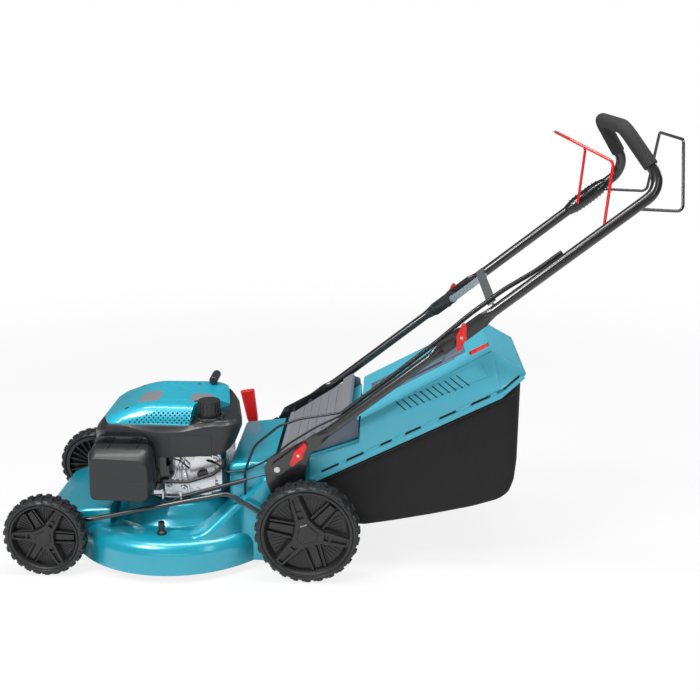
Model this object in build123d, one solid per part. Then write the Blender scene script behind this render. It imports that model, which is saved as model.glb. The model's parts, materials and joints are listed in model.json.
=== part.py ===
from build123d import *
import os
from math import asin, atan2, cos, degrees, hypot, pi, radians, sin

# Petrol rotary lawn mower with wheel drive and a rear grass bag, at its lowest cut.
# Sizes are in millimetres. x runs to the rear from the rear wheels' centre line, y to the
# mower's right and z up from the ground. The finished pieces are moved along x at the end,
# so that the origin lies on the ground under the middle of the mower's length.

# Clearances
running_gap = 0.05
weld_lap = 0.5
slide_gap = 0.3
face_gap = 0.4
seat_gap = 0.2

# Wheels
wheelbase = 638
rear_wheel_diameter = 254
front_wheel_diameter = 203
rear_wheel_width = 52
front_wheel_width = 46
rear_track = 532
front_track = 514
tyre_thickness = 17
tyre_shoulder = 9
rim_band = 6
web_thickness = 6
web_inset = 9
hub_diameter = 40
hub_cap_diameter = 58
hub_cap_height = 5
spoke_count = 3
spoke_width = 30
spoke_depth = 8
lug_count = 26
lug_height = 4
lug_width = 12

# Height adjustment
cutting_lift = 50
arm_length = 50
arm_thickness = 5.5
arm_eye_radius = 18
stub_diameter = 14
pin_offset = 30
pin_diameter = 8
pin_eye_radius = 10
rod_diameter = 12
rod_plane = 203.6
front_bar_diameter = 12
front_arm_thickness = 8
front_arm_inside = 178
lever_diameter = 7
lever_plane = 238
lever_grip_length = 112
lever_grip_width = 40
lever_grip_thickness = 24
gate_radius = 158
gate_height = 16
gate_thickness = 4
gate_notches = 8
gate_lever_gap = 4
spring_wire = 3
spring_sleeve = 11

# Wheel drive
shaft_diameter = 12
tooth_module = 2
pinion_teeth = 12
ring_teeth = 62
tooth_share = 0.38
tooth_rise = 1.5
tooth_root = 2.4
tooth_taper = 0.62
gear_width = 16
ring_wall = 5
gearbox_length = 66
gearbox_width = 60
gearbox_height = 62
gearbox_y = 60
input_offset = 24
belt_z = 58
belt_height = 9
belt_thickness = 6
engine_pulley_radius = 20
gearbox_pulley_radius = 26
pulley_flange = 4

# Deck
blade_x = -348
deck_radius = 280
deck_wall = 2
skirt_z = 20
shoulder_z = 71
shoulder_top_z = 94
shoulder_in = 10
crown_z = 103
crown_in = 35
shoulder_round = 32
crown_round = 60
ring_round = 9
ring_radius = 178
ring_z = 115
seat_radius = 150
seat_z = 150
seat_round = 12
flank_rise_run = 130
flank_rise = 102
flank_top_rise = 137
flank_sweep = 110
flank_sink = 1
flank_in = 3
flank_edge = 14
crank_hole_radius = 34
baffle_x = -83
tail_x = -12
tail_half = 186
tail_floor_z = 138
tail_floor_rise = 12
tail_wall_z = 262
tail_wall_rear_z = 286
hump_half = 160
hump_front_x = -198
hump_front_z = 262
hump_rear_x = -80
hump_rear_z = 276
hump_edge = 14
nose_x = -690
nose_half = 172
nose_skirt_z = 60
nose_lip_z = 98
nose_top_z = 146
nose_edge = 12

# Blade
blade_length = 508
blade_width = 54
blade_thickness = 4
blade_z = 28
blade_wing_length = 90
blade_wing_width = 16
blade_wing_rise = 11
adapter_radius = 30
blade_bolt_radius = 12
blade_boss_radius = 8
shaft_end_z = 36
blade_bolt_height = 8
crankshaft_radius = 12.5

# Engine
case_flange_radius = 118
case_flange_height = 12
case_front_x = -430
case_rear_x = -216
case_near_y = -118
case_far_y = 108
case_top_z = 285
case_corner = 34
case_wall = 11
case_room_radius = 90
barrel_front_x = -520
barrel_half = 58
barrel_low_z = 192
barrel_top_z = 276
fin_count = 6
fin_thickness = 4
fin_reach = 12
flywheel_radius = 86
flywheel_z = 302
flywheel_height = 26
vane_count = 14
vane_height = 14
vane_length = 26
vane_thickness = 4
shroud_wall = 4
shroud_top_z = 361
tank_top_z = 374
shroud_near_y = -165
shroud_far_y = 118
shroud_front_x = -536
shroud_rear_x = -170
shroud_step_x = -268
shroud_corner = 34
cover_top_z = 404
cover_inset = 44
cover_wall = 3
cap_x = -247
cap_y = -126
cap_radius = 28
cap_height = 42
neck_radius = 22
neck_height = 9
cap_rib_count = 18
cap_rib_depth = 2
filter_front_x = -530
filter_rear_x = -378
filter_low_z = 187
filter_top_z = 318
filter_near_y = -233
filter_back_y = -176
filter_wall = 3
filter_bevel = 16
filter_corner = 22
filter_base_thickness = 8
carburettor_x = -356
carburettor_z = 232
carburettor_radius = 22
muffler_length = 110
muffler_radius = 38
muffler_wall = 2
muffler_outlet = 8
muffler_x = -450
muffler_y = 150
muffler_z = 240
reel_radius = 62
reel_height = 14
reel_z = 374
reel_groove = 6
grip_x = -262
grip_y = 60
grip_z = 416
grip_length = 64
grip_diameter = 22
rope_diameter = 5
rope_stub = 26
pull_angle = 56
hose_diameter = 8

# Handle
handle_angle = 38.3
handle_half = 199
lower_knob_x = -23
lower_knob_z = 309
pivot_distance = 66
knob_distance = 481
lower_tube_diameter = 22
upper_tube_diameter = 25
tube_wall = 1.6
flat_height = 32
flat_thickness = 10
flat_run = 54
taper_run = 34
upper_flat_run = 60
bend_distance = 1036
bend_radius = 50
crown_x = 705
crown_z_handle = 1074
crown_half = 138
crown_radius = 42
foam_diameter = 33
foam_start = 54
bolt_diameter = 8
bolt_head_diameter = 15
bolt_head_height = 3
bracket_thickness = 4
slot_half_angle = 8
knob_length = 64
knob_width = 22
knob_thickness = 12
knob_hub_diameter = 24
knob_hub_height = 16
brace_distance = 100
brace_rise = 13.6
brace_width = 22
brace_thickness = 3
brace_drop = 4

# Bails and control housing
bail_diameter = 7
bail_leg_y = 176
bail_bar_half = 110
brake_pivot = (668, 860)
brake_knee = (679, 1001)
brake_bar = (590, 1045)
drive_pivot = (733, 897)
drive_knee = (840, 893)
drive_bar = (845, 1045)
bail_pin_reach = 195
bail_corner = 14
housing_length = 120
housing_height = 40
housing_width = 36
housing_centre = 912
housing_hole = 1.2

# Cables
conduit_diameter = 11
brake_cable_diameter = 5
drive_cable_diameter = 6
drive_cable_x = -157
drive_cable_y = -174

# Rear flap
hinge_x = -68
hinge_z = 286
hinge_rod_diameter = 6
knuckle_radius = 7
flap_angle = 33
flap_length = 200
flap_half = 150
flap_wall = 3
flap_lip_length = 30
flap_lip_rise = 8
flap_rib_count = 5
flap_rib_height = 3
flap_rib_width = 8

# Grass bag
bag_front_x = 2
bag_half = 172
lid_half = 180
lid_wall = 3
fabric_wall = 3
neck_half = 143
lid_bevel_front = (6, 5)
lid_bevel_rear = (54, 34)
mouth_half = 132
mouth_low_z = 168
mouth_top_z = 292
tray_length = 220
tray_half = 58
tray_depth = 34
carry_width = 44
carry_thickness = 12
carry_root = 24
window_length = 48
window_width = 34
window_x = 408
window_y = -85
window_barrel = 4
window_pin = 2.4
window_hinge_in = 3
window_hinge_drop = 2.6
window_ear = 3

# Places worked out from the sizes above
rear_z = rear_wheel_diameter / 2
front_x = -wheelbase
front_z = front_wheel_diameter / 2
arm_angle = degrees(asin(cutting_lift / 2 / arm_length))
arm_run = arm_length * cos(radians(arm_angle))
shaft_x = -arm_run
shaft_z = rear_z - cutting_lift / 2
front_pivot_x = front_x - arm_run
front_pivot_z = front_z - cutting_lift / 2
pin_angle = 90 + arm_angle
rear_pin = (shaft_x + pin_offset * cos(radians(pin_angle)), shaft_z + pin_offset * sin(radians(pin_angle)))
front_pin = (rear_pin[0] - shaft_x + front_pivot_x, rear_pin[1] - shaft_z + front_pivot_z)
along = Vector(cos(radians(handle_angle)), 0, sin(radians(handle_angle)))
square = Vector(-along.Z, 0, along.X)
bracket_inside = tail_half
bracket_outside = tail_half + bracket_thickness
arm_inside = bracket_outside + 1.5
arm_outside = arm_inside + arm_thickness
rear_outer_y = rear_track / 2
rear_inner_y = rear_outer_y - rear_wheel_width
front_outer_y = front_track / 2
front_inner_y = front_outer_y - front_wheel_width
gearbox_pulley_x = shaft_x - input_offset
pull = Vector(cos(radians(pull_angle)), 0, sin(radians(pull_angle)))
front_reach = wheelbase + front_wheel_diameter / 2
rear_reach = drive_bar[0] + bail_diameter / 2
origin_x = (rear_reach - front_reach) / 2


def handle_point(distance, rise=0.0, y=0.0):
    """Point on the straight run of the handle, measured from the lower knob's bolt."""
    start = Vector(lower_knob_x, y, lower_knob_z)
    return start + along * distance + square * rise


def side_face(outline):
    """Upright face with an x, z outline at y = 0."""
    return Plane.XZ * make_face(Polyline(*outline, close=True))


def side_prism(outline, y_low, y_high):
    """Prism with an x, z outline between two y values."""
    return extrude(Pos(0, y_high, 0) * side_face(outline), y_high - y_low)


def plan_prism(outline, z_low, z_high):
    """Prism with an x, y outline between two heights."""
    face = make_face(Polyline(*outline, close=True))
    return extrude(Pos(0, 0, z_low) * face, z_high - z_low)


def block(x_low, x_high, y_low, y_high, z_low, z_high):
    """Box between three pairs of limits."""
    size = Box(x_high - x_low, y_high - y_low, z_high - z_low)
    return Pos((x_low + x_high) / 2, (y_low + y_high) / 2, (z_low + z_high) / 2) * size


def cross_cylinder(x, z, radius, y_low, y_high):
    """Cylinder along y."""
    face = Plane.XZ * (Pos(x, z) * Circle(radius))
    return extrude(Pos(0, y_high, 0) * face, y_high - y_low)


def upright_cylinder(x, y, radius, z_low, z_high):
    """Cylinder along z."""
    return extrude(Pos(x, y, z_low) * Circle(radius), z_high - z_low)


def turned(profile, x, y=0.0):
    """Solid turned about an upright line, from radius and height points."""
    return Pos(x, y, 0) * revolve(side_face(profile), Axis.Z)


def turned_across(profile, x, z):
    """Solid turned about a line along y, from radius and y points."""
    face = make_face(Polyline(*profile, close=True))
    return Pos(x, 0, z) * revolve(face, Axis.Y)


def hull_plate(circles, y_low, y_high):
    """Plate in the x, z plane round a set of circles, given as x, z and radius."""
    edges = []
    for x, z, radius in circles:
        edges += (Pos(x, z) * Circle(radius)).edges()
    face = Plane.XZ * make_hull(edges)
    return extrude(Pos(0, y_high, 0) * face, y_high - y_low)


def bent_wire(points, radii, diameter, bore=0.0):
    """Round wire, or tube with a bore, along straight runs and tangent arcs."""
    path = FilletPolyline(*points, radius=radii) if radii else Line(*points)
    section = Circle(diameter / 2)
    if bore:
        section -= Circle(bore / 2)
    return sweep(Plane(origin=path @ 0, z_dir=path % 0) * section, path=path)


def both_sides(piece):
    """A piece and its mirror image across the mower's middle plane."""
    return piece + mirror(piece, Plane.XZ)


def rounded_side(outline, y_low, y_high):
    """Prism between two y values, from x, z and corner radius points."""
    path = FilletPolyline(*[(x, z) for x, z, r in outline], radius=[r for x, z, r in outline], close=True)
    return extrude(Pos(0, y_high, 0) * (Plane.XZ * make_face(path)), y_high - y_low)


def rounded_plan(outline):
    """Flat face from x, y and corner radius points."""
    path = FilletPolyline(*[(x, y) for x, y, r in outline], radius=[r for x, y, r in outline], close=True)
    return make_face(path)


def inward(value, middle):
    """Sign of the step from a value towards a middle."""
    return 1 if value < middle else -1


# Deck

def bowl(inset):
    """Bowl round the blade, drawn in by the given wall."""
    profile = [
        (0, skirt_z - 2 * inset, 0),
        (deck_radius - inset, skirt_z - 2 * inset, 0),
        (deck_radius - inset, shoulder_z, shoulder_round),
        (deck_radius - shoulder_in - inset, shoulder_top_z - inset, shoulder_round),
        (deck_radius - crown_in, crown_z - inset, crown_round),
        (ring_radius + shoulder_in - inset, crown_z - inset, ring_round),
        (ring_radius - inset, ring_z - inset, ring_round),
        (seat_radius - inset, seat_z - inset, seat_round),
        (0, seat_z - inset, 0),
    ]
    round_bowl = Pos(blade_x, 0, 0) * revolve(Plane.XZ * rounded_plan(profile), Axis.Z)
    return round_bowl - block(baffle_x - inset, 0, -deck_radius, deck_radius, 0, seat_z)


def flank(inset):
    """Body behind the bowl, which rises towards the discharge tunnel."""
    half = tail_half - inset
    rear = baffle_x - inset
    wide = deck_radius - crown_in - flank_in - inset
    taper_start = blade_x + 108
    taper_end = blade_x + 188
    near = [(blade_x, -wide, 0), (taper_start, -wide, 60), (taper_end, -half, 40), (rear, -half, 0)]
    plan = near + [(x, -y, r) for x, y, r in reversed(near)]
    top = crown_z - flank_sink - inset
    rise_start = blade_x + 208 - flank_rise_run
    side = [
        (blade_x, skirt_z - 2 * inset, 0),
        (blade_x, top, 0),
        (rise_start, top, flank_sweep),
        (rise_start + flank_rise_run, top + flank_rise, 24),
        (blade_x + 235, top + flank_top_rise - 2, 16),
        (rear, top + flank_top_rise, 0),
        (rear, skirt_z - 2 * inset, 0),
    ]
    body = extrude(rounded_plan(plan), hump_rear_z) & rounded_side(side, -deck_radius, deck_radius)
    upper = [edge for edge in body.edges() if edge.center().Z > top + 1 and abs(edge.center().Y) > half - 1]
    body = fillet(upper, flank_edge - inset)
    return body - upright_cylinder(blade_x, 0, ring_radius + inset, top, hump_rear_z)


def hump(inset):
    """Roof of the discharge tunnel behind the engine."""
    low = seat_z + inset
    outline = [
        (hump_front_x + inset, low),
        (hump_front_x + inset, hump_front_z - inset),
        (hump_front_x + 62, hump_front_z + 7 - inset),
        (hump_rear_x + inset, hump_rear_z - inset),
        (hump_rear_x + inset, low),
    ]
    roof = side_prism(outline, -hump_half + inset, hump_half - inset)
    upper = [edge for edge in roof.edges() if edge.center().Z > low + 1 and edge.center().X < hump_rear_x - 1]
    return fillet(upper, hump_edge - inset)


def tail(inset):
    """Outlet behind the baffle, open at the top and the rear."""
    reach = 40 * inset
    outline = [
        (baffle_x - deck_wall - inset, tail_floor_z + inset),
        (tail_x + inset, tail_floor_z + tail_floor_rise + inset),
        (tail_x + inset, tail_wall_rear_z + reach),
        (hump_rear_x, tail_wall_z + reach),
        (baffle_x - deck_wall - inset, tail_wall_z + reach),
    ]
    return side_prism(outline, -tail_half + inset, tail_half - inset)


def nose(inset):
    """Bridge from the bowl to the front axle."""
    low = nose_skirt_z - 2 * inset
    rear = blade_x - ring_radius + 30
    outline = [
        (nose_x + inset, low, 0),
        (nose_x + inset, nose_lip_z - inset, 20),
        (nose_x + 54, nose_lip_z + 24 - inset, 80),
        (nose_x + 130, nose_top_z - 4 - inset, 80),
        (rear, nose_top_z - inset, 0),
        (rear, low, 0),
    ]
    bridge = rounded_side(outline, -nose_half + inset, nose_half - inset)
    edges = [edge for edge in bridge.edges() if abs(edge.center().Y) > nose_half - inset - 1]
    upper = [edge for edge in edges if edge.center().Z > low + 1 and edge.center().X < rear - 1]
    return fillet(upper, nose_edge - inset)


def deck_shell():
    """Pressed deck: bowl, tunnel, outlet and front bridge in one sheet."""
    outside = bowl(0) + flank(0) + hump(0) + tail(0) + nose(0)
    seat = upright_cylinder(blade_x, 0, ring_radius, skirt_z, seat_z)
    inside = bowl(deck_wall) + flank(deck_wall) + hump(deck_wall) + tail(deck_wall) + (nose(deck_wall) - seat)
    wall = upright_cylinder(blade_x, 0, deck_radius, skirt_z, nose_top_z)
    wall -= upright_cylinder(blade_x, 0, deck_radius - deck_wall, skirt_z, nose_top_z)
    shell = outside - inside + (wall & nose(0))
    shell -= upright_cylinder(blade_x, 0, crank_hole_radius, 0, seat_z + deck_wall)
    shell -= block(baffle_x - 20, baffle_x + 10, gearbox_y - 46, gearbox_y + 46, belt_z - 12, belt_z + 12)
    cable_hole = drive_cable_diameter / 2 + slide_gap
    shell -= upright_cylinder(drive_cable_x, drive_cable_y, cable_hole, seat_z, tail_wall_z)
    axle_hole = front_bar_diameter / 2 + running_gap
    shell -= cross_cylinder(front_pivot_x, front_pivot_z, axle_hole, -nose_half - 5, nose_half + 5)
    shell -= cross_cylinder(hinge_x, hinge_z, hinge_rod_diameter / 2 + seat_gap, -tail_half, tail_half)
    return shell


def wash_port():
    """Hose nipple on the near side of the bowl."""
    profile = [
        (5, crown_z + seat_gap),
        (12, crown_z + seat_gap),
        (12, crown_z + 6),
        (7, crown_z + 9),
        (7, crown_z + 16),
        (8, crown_z + 18),
        (8, crown_z + 31),
        (5, crown_z + 31),
    ]
    return turned(profile, blade_x - 9, -220)


# Blade and crankshaft

def blade():
    """Cutting bar with a raised wing behind each cutting edge."""
    half = blade_length / 2
    top = blade_z + blade_thickness
    bar = block(-half, half, -blade_width / 2, blade_width / 2, blade_z, top)
    wing_face = [
        (blade_width / 2 - blade_wing_width, blade_z),
        (blade_width / 2, blade_z + blade_wing_rise),
        (blade_width / 2, top + blade_wing_rise),
        (blade_width / 2 - blade_wing_width, top),
    ]
    face = Plane.YZ * make_face(Polyline(*wing_face, close=True))
    notch = block(half - blade_wing_length, half, blade_width / 2 - blade_wing_width, blade_width, 0, seat_z)
    wing = Pos(half - blade_wing_length, 0, 0) * extrude(face, blade_wing_length)
    bar = bar - notch + wing
    bar = bar - Rot(0, 0, 180) * notch + Rot(0, 0, 180) * wing
    bar &= upright_cylinder(0, 0, half, 0, seat_z)
    bar -= upright_cylinder(0, 0, blade_boss_radius + running_gap, 0, seat_z)
    return Pos(blade_x, 0, 0) * bar


def blade_adapter():
    """Blade seat, belt pulley and blade bolt in one piece."""
    top = blade_z + blade_thickness
    low = belt_z - belt_height / 2
    high = belt_z + belt_height / 2
    profile = [
        (0, blade_z - blade_bolt_height),
        (blade_bolt_radius, blade_z - blade_bolt_height),
        (blade_bolt_radius, blade_z - seat_gap),
        (blade_boss_radius, blade_z - seat_gap),
        (blade_boss_radius, top + seat_gap),
        (adapter_radius, top + seat_gap),
        (adapter_radius, low - pulley_flange),
        (engine_pulley_radius + belt_thickness, low - pulley_flange),
        (engine_pulley_radius + belt_thickness, low),
        (engine_pulley_radius, low),
        (engine_pulley_radius, high),
        (engine_pulley_radius + belt_thickness, high),
        (engine_pulley_radius + belt_thickness, high + pulley_flange),
        (crankshaft_radius, high + pulley_flange),
        (crankshaft_radius, shaft_end_z),
        (0, shaft_end_z),
    ]
    return turned(profile, blade_x)


def crankshaft():
    """Upright crankshaft from the blade to the flywheel."""
    return upright_cylinder(
        blade_x, 0, crankshaft_radius, shaft_end_z, flywheel_z + flywheel_height + vane_height,
    )


def flywheel():
    """Flywheel with fan vanes."""
    disc = upright_cylinder(0, 0, flywheel_radius, flywheel_z, flywheel_z + flywheel_height)
    top = flywheel_z + flywheel_height
    vane = block(
        flywheel_radius - vane_length, flywheel_radius, -vane_thickness / 2, vane_thickness / 2,
        top, top + vane_height,
    )
    for turn in range(vane_count):
        disc += Rot(0, 0, 360 * turn / vane_count) * vane
    disc -= upright_cylinder(0, 0, crankshaft_radius, 0, cover_top_z)
    return Pos(blade_x, 0, 0) * disc


# Engine

def engine_block():
    """Crankcase with its finned cylinder, bored for the crankshaft."""
    flange_top = seat_z + case_flange_height
    case = upright_cylinder(blade_x, 0, case_flange_radius, seat_z, flange_top)
    plan = [
        (case_front_x, case_near_y + case_corner),
        (case_front_x + case_corner, case_near_y),
        (case_rear_x - case_corner, case_near_y),
        (case_rear_x, case_near_y + case_corner),
        (case_rear_x, case_far_y - case_corner),
        (case_rear_x - case_corner, case_far_y),
        (case_front_x + case_corner, case_far_y),
        (case_front_x, case_far_y - case_corner),
    ]
    case += plan_prism(plan, flange_top, case_top_z)
    barrel = block(barrel_front_x, case_front_x, -barrel_half, barrel_half, barrel_low_z, barrel_top_z)
    case += barrel
    pitch = (case_front_x - barrel_front_x) / (fin_count + 1)
    for number in range(fin_count):
        x = barrel_front_x + pitch * (number + 1)
        case += block(
            x - fin_thickness / 2, x + fin_thickness / 2, -barrel_half - fin_reach, barrel_half + fin_reach,
            barrel_low_z - fin_reach, barrel_top_z + fin_reach / 2,
        )
    room = [(x + case_wall * inward(x, blade_x), y + case_wall * inward(y, 0)) for x, y in plan]
    case -= plan_prism(room, flange_top, case_top_z - case_wall)
    case -= upright_cylinder(blade_x, 0, case_room_radius, seat_z, flange_top)
    return case - upright_cylinder(blade_x, 0, crankshaft_radius + running_gap, 0, cover_top_z)


def shroud_plan(inset):
    """Plan outline of the engine shroud."""
    near = shroud_near_y + inset
    far = shroud_far_y - inset
    front = shroud_front_x + inset
    rear = shroud_rear_x - inset
    return rounded_plan(
        [
            (front, near + 46, 24),
            (front + 40, near + 6, shroud_corner),
            (rear - 8, near, shroud_corner),
            (rear - 6, -20, shroud_corner),
            (rear - 66, far, shroud_corner),
            (front + 66, far, shroud_corner),
            (front, 62, shroud_corner),
        ]
    )


def engine_shroud():
    """Black fan shroud with the fuel tank at its near rear corner."""
    low = case_top_z - 30
    front_slope = 30
    skirt = [
        (shroud_front_x, 306, 0),
        (-505, 322, 30),
        (-402, 324, 24),
        (-371, case_top_z - 13, 24),
        (-208, case_top_z - 6, 30),
        (-188, 306, 30),
        (shroud_rear_x, 330, 0),
        (shroud_rear_x, tank_top_z, 0),
        (shroud_step_x, tank_top_z, 6),
        (shroud_step_x - 16, shroud_top_z, 6),
        (shroud_front_x + front_slope, shroud_top_z - 2, 20),
        (shroud_front_x, 330, 0),
    ]
    body = extrude(Pos(0, 0, low) * shroud_plan(0), tank_top_z - low)
    body &= rounded_side(skirt, shroud_near_y, shroud_far_y)
    roof = shroud_top_z - shroud_wall - 2
    well = extrude(Pos(0, 0, low) * shroud_plan(shroud_wall), roof - low)
    well &= block(shroud_front_x + front_slope, 0, shroud_near_y, shroud_far_y, low, roof)
    tank = block(shroud_step_x - 32, 0, shroud_near_y, -62, low, tank_top_z)
    body -= well - tank
    body -= upright_cylinder(blade_x, 0, flywheel_radius + 6, low, tank_top_z)
    case_room = block(case_front_x, case_rear_x, case_near_y, case_far_y, low, case_top_z + face_gap)
    body -= case_room
    return body + upright_cylinder(cap_x, cap_y, neck_radius, tank_top_z, tank_top_z + neck_height)


def cover_outline(inset):
    """Plan outline of the top cover, drawn in by the given amount."""
    front = shroud_front_x + 26 + inset
    return rounded_plan(
        [
            (front, -96 + 0.6 * inset, 30),
            (front + 22, -148 + inset, 30),
            (-296 - inset, -152 + inset, 16),
            (-272 - inset, -92 + 0.4 * inset, 14),
            (-212 - inset, -40, 30),
            (-228 - inset, 56 - 0.4 * inset, 30),
            (-262 - inset, 108 - inset, 30),
            (-470 + inset, 110 - inset, 40),
            (front, 58 - 0.4 * inset, 40),
        ]
    )


def cover_dome(wall):
    """Domed cover body, drawn in by the given wall."""
    base = tank_top_z + face_gap
    sections = []
    for share_in, share_up in ((0, 0), (0.11, 0.42), (0.4, 0.78), (1, 1)):
        height = base + (cover_top_z - base) * share_up - wall
        sections.append(Pos(0, 0, height) * cover_outline(cover_inset * share_in + wall))
    return loft(sections, ruled=True)


def top_cover():
    """Domed cover over the starter reel and the flywheel."""
    base = tank_top_z + face_gap
    foot = shroud_top_z + face_gap
    cover = cover_dome(0) - cover_dome(cover_wall)
    rim = extrude(Pos(0, 0, foot) * (cover_outline(0) - cover_outline(cover_wall)), base - foot)
    rim -= block(shroud_step_x - 22, 0, shroud_near_y, shroud_far_y, foot, base)
    start = Vector(grip_x, grip_y, grip_z)
    hole = Plane(origin=start - pull * rope_stub * 3, z_dir=pull) * Circle(rope_diameter / 2 + face_gap)
    return cover + rim - extrude(hole, rope_stub * 3)


def fuel_cap():
    """Ribbed screw cap on the filler neck."""
    low = tank_top_z + seat_gap
    top = tank_top_z + cap_height
    cap = upright_cylinder(0, 0, cap_radius - cap_rib_depth, low, top)
    rib = block(cap_radius - 4, cap_radius, -3, 3, low + 12, top - 3)
    for turn in range(cap_rib_count):
        cap += Rot(0, 0, 360 * turn / cap_rib_count) * rib
    cap -= upright_cylinder(0, 0, neck_radius + slide_gap, 0, tank_top_z + neck_height + seat_gap)
    return Pos(cap_x, cap_y, 0) * cap


def filter_cover():
    """Bevelled cup of the air filter, which pulls straight off its base."""
    cups = []
    for wall in (0, filter_wall):
        cup = block(
            filter_front_x + wall, filter_rear_x - wall, filter_near_y + wall, filter_back_y,
            filter_low_z + wall, filter_top_z - wall,
        )
        cup = fillet(cup.edges().filter_by(Axis.Y), filter_corner - wall)
        cups.append(chamfer(cup.faces().sort_by(Axis.Y)[0].edges(), filter_bevel - wall / 2))
    return cups[0] - cups[1]


def carburettor():
    """Filter base plate, carburettor body and the inlet to the engine block."""
    back = filter_back_y + face_gap
    base = block(
        filter_front_x, filter_rear_x, back, back + filter_base_thickness, filter_low_z, filter_top_z,
    )
    base = fillet(base.edges().filter_by(Axis.Y), filter_corner)
    body = cross_cylinder(
        carburettor_x - 34, carburettor_z, carburettor_radius, back + filter_base_thickness, case_near_y - 22,
    )
    low = carburettor_z - carburettor_radius
    high = carburettor_z + carburettor_radius
    inlet = block(carburettor_x - 54, carburettor_x + 10, case_near_y - 40, case_near_y, low, high)
    bowl_body = upright_cylinder(carburettor_x - 20, case_near_y - 30, 16, low - 18, low)
    return base + body + inlet + bowl_body


def muffler():
    """Hollow silencer on the far side, on its pipe from the cylinder."""
    lying = Pos(muffler_x, muffler_y, muffler_z) * Rot(0, 90, 0)
    pipe = cross_cylinder(barrel_front_x + 40, muffler_z, 14, barrel_half + fin_reach, muffler_y)
    can = lying * Cylinder(muffler_radius, muffler_length) + pipe
    can -= lying * Cylinder(muffler_radius - muffler_wall, muffler_length - 2 * muffler_wall)
    outlet = lying * Pos(0, 0, -muffler_length / 2) * Cylinder(muffler_outlet, 4 * muffler_wall)
    return can - outlet


def starter_reel():
    """Rope reel under the top cover."""
    mid = reel_z + reel_height / 2
    hub = crankshaft_radius
    profile = [
        (hub, reel_z),
        (reel_radius, reel_z),
        (reel_radius - reel_groove, mid),
        (reel_radius, reel_z + reel_height),
        (hub, reel_z + reel_height),
    ]
    return turned(profile, blade_x)


def starter_post():
    """Upright post in the top cover that the reel turns on."""
    radius = crankshaft_radius - running_gap
    return upright_cylinder(blade_x, 0, radius, reel_z - 4, cover_top_z - cover_wall)


def starter_grip():
    """T grip on the end of the starter rope."""
    bar = cross_cylinder(grip_x, grip_z, grip_diameter / 2, grip_y - grip_length / 2, grip_y + grip_length / 2)
    return fillet(bar.edges(), grip_diameter / 4)


def starter_rope():
    """Short end of the starter rope between the cover and its grip."""
    start = Vector(grip_x, grip_y, grip_z) - pull * (grip_diameter / 2 + seat_gap)
    section = Plane(origin=start, z_dir=pull * -1) * Circle(rope_diameter / 2)
    return extrude(section, rope_stub)


def fuel_hose():
    """Hose from the tank to the carburettor."""
    y = case_near_y - 52
    points = [
        (carburettor_x - 10, case_near_y - 40 - seat_gap, carburettor_z - 14),
        (carburettor_x - 10, y, carburettor_z - 14),
        (-298, y, carburettor_z - 14),
        (-232, y + 4, 240),
        (-211, y + 10, 262),
        (-211, y + 10, case_top_z - 6.8),
    ]
    return bent_wire(points, [8, 60, 40, 14], hose_diameter)


# Wheels and gears

def gear_outline(teeth, internal):
    """Tooth outline round a gear, as points."""
    pitch_radius = tooth_module * teeth / 2
    tip = pitch_radius - tooth_rise if internal else pitch_radius + tooth_rise
    root = pitch_radius + tooth_root if internal else pitch_radius - tooth_root
    pitch = 2 * pi / teeth
    points = []
    for tooth in range(teeth):
        centre = pitch * tooth
        wide = pitch * tooth_share * (1 + tooth_taper) / 2
        narrow = pitch * tooth_share * (1 - tooth_taper) / 2 + pitch * 0.06
        for radius, angle in ((root, -wide), (tip, -narrow), (tip, narrow), (root, wide)):
            points.append((radius * cos(centre + angle), radius * sin(centre + angle)))
    return points


def tyre(x, z, diameter, inner_y, outer_y):
    """Tyre with sloped shoulders and a row of lugs."""
    radius = diameter / 2
    tread = radius - lug_height
    bead = radius - tyre_thickness
    profile = [
        (bead, inner_y),
        (tread - tyre_shoulder, inner_y),
        (tread, inner_y + tyre_shoulder),
        (tread, outer_y - tyre_shoulder),
        (tread - tyre_shoulder, outer_y),
        (bead, outer_y),
    ]
    ring = turned_across(profile, 0, 0)
    pitch = 360 / lug_count
    for row, (low, high) in enumerate(
        ((inner_y + 3, (inner_y + outer_y) / 2 - 1), ((inner_y + outer_y) / 2 + 1, outer_y - 3))
    ):
        lug = block(-lug_width / 2, lug_width / 2, low, high, tread - tyre_shoulder / 2, radius)
        lug &= cross_cylinder(0, 0, radius, low, high)
        for turn in range(lug_count):
            ring += Rot(0, pitch * (turn + row / 2), 0) * lug
    return Pos(x, 0, z) * ring


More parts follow.
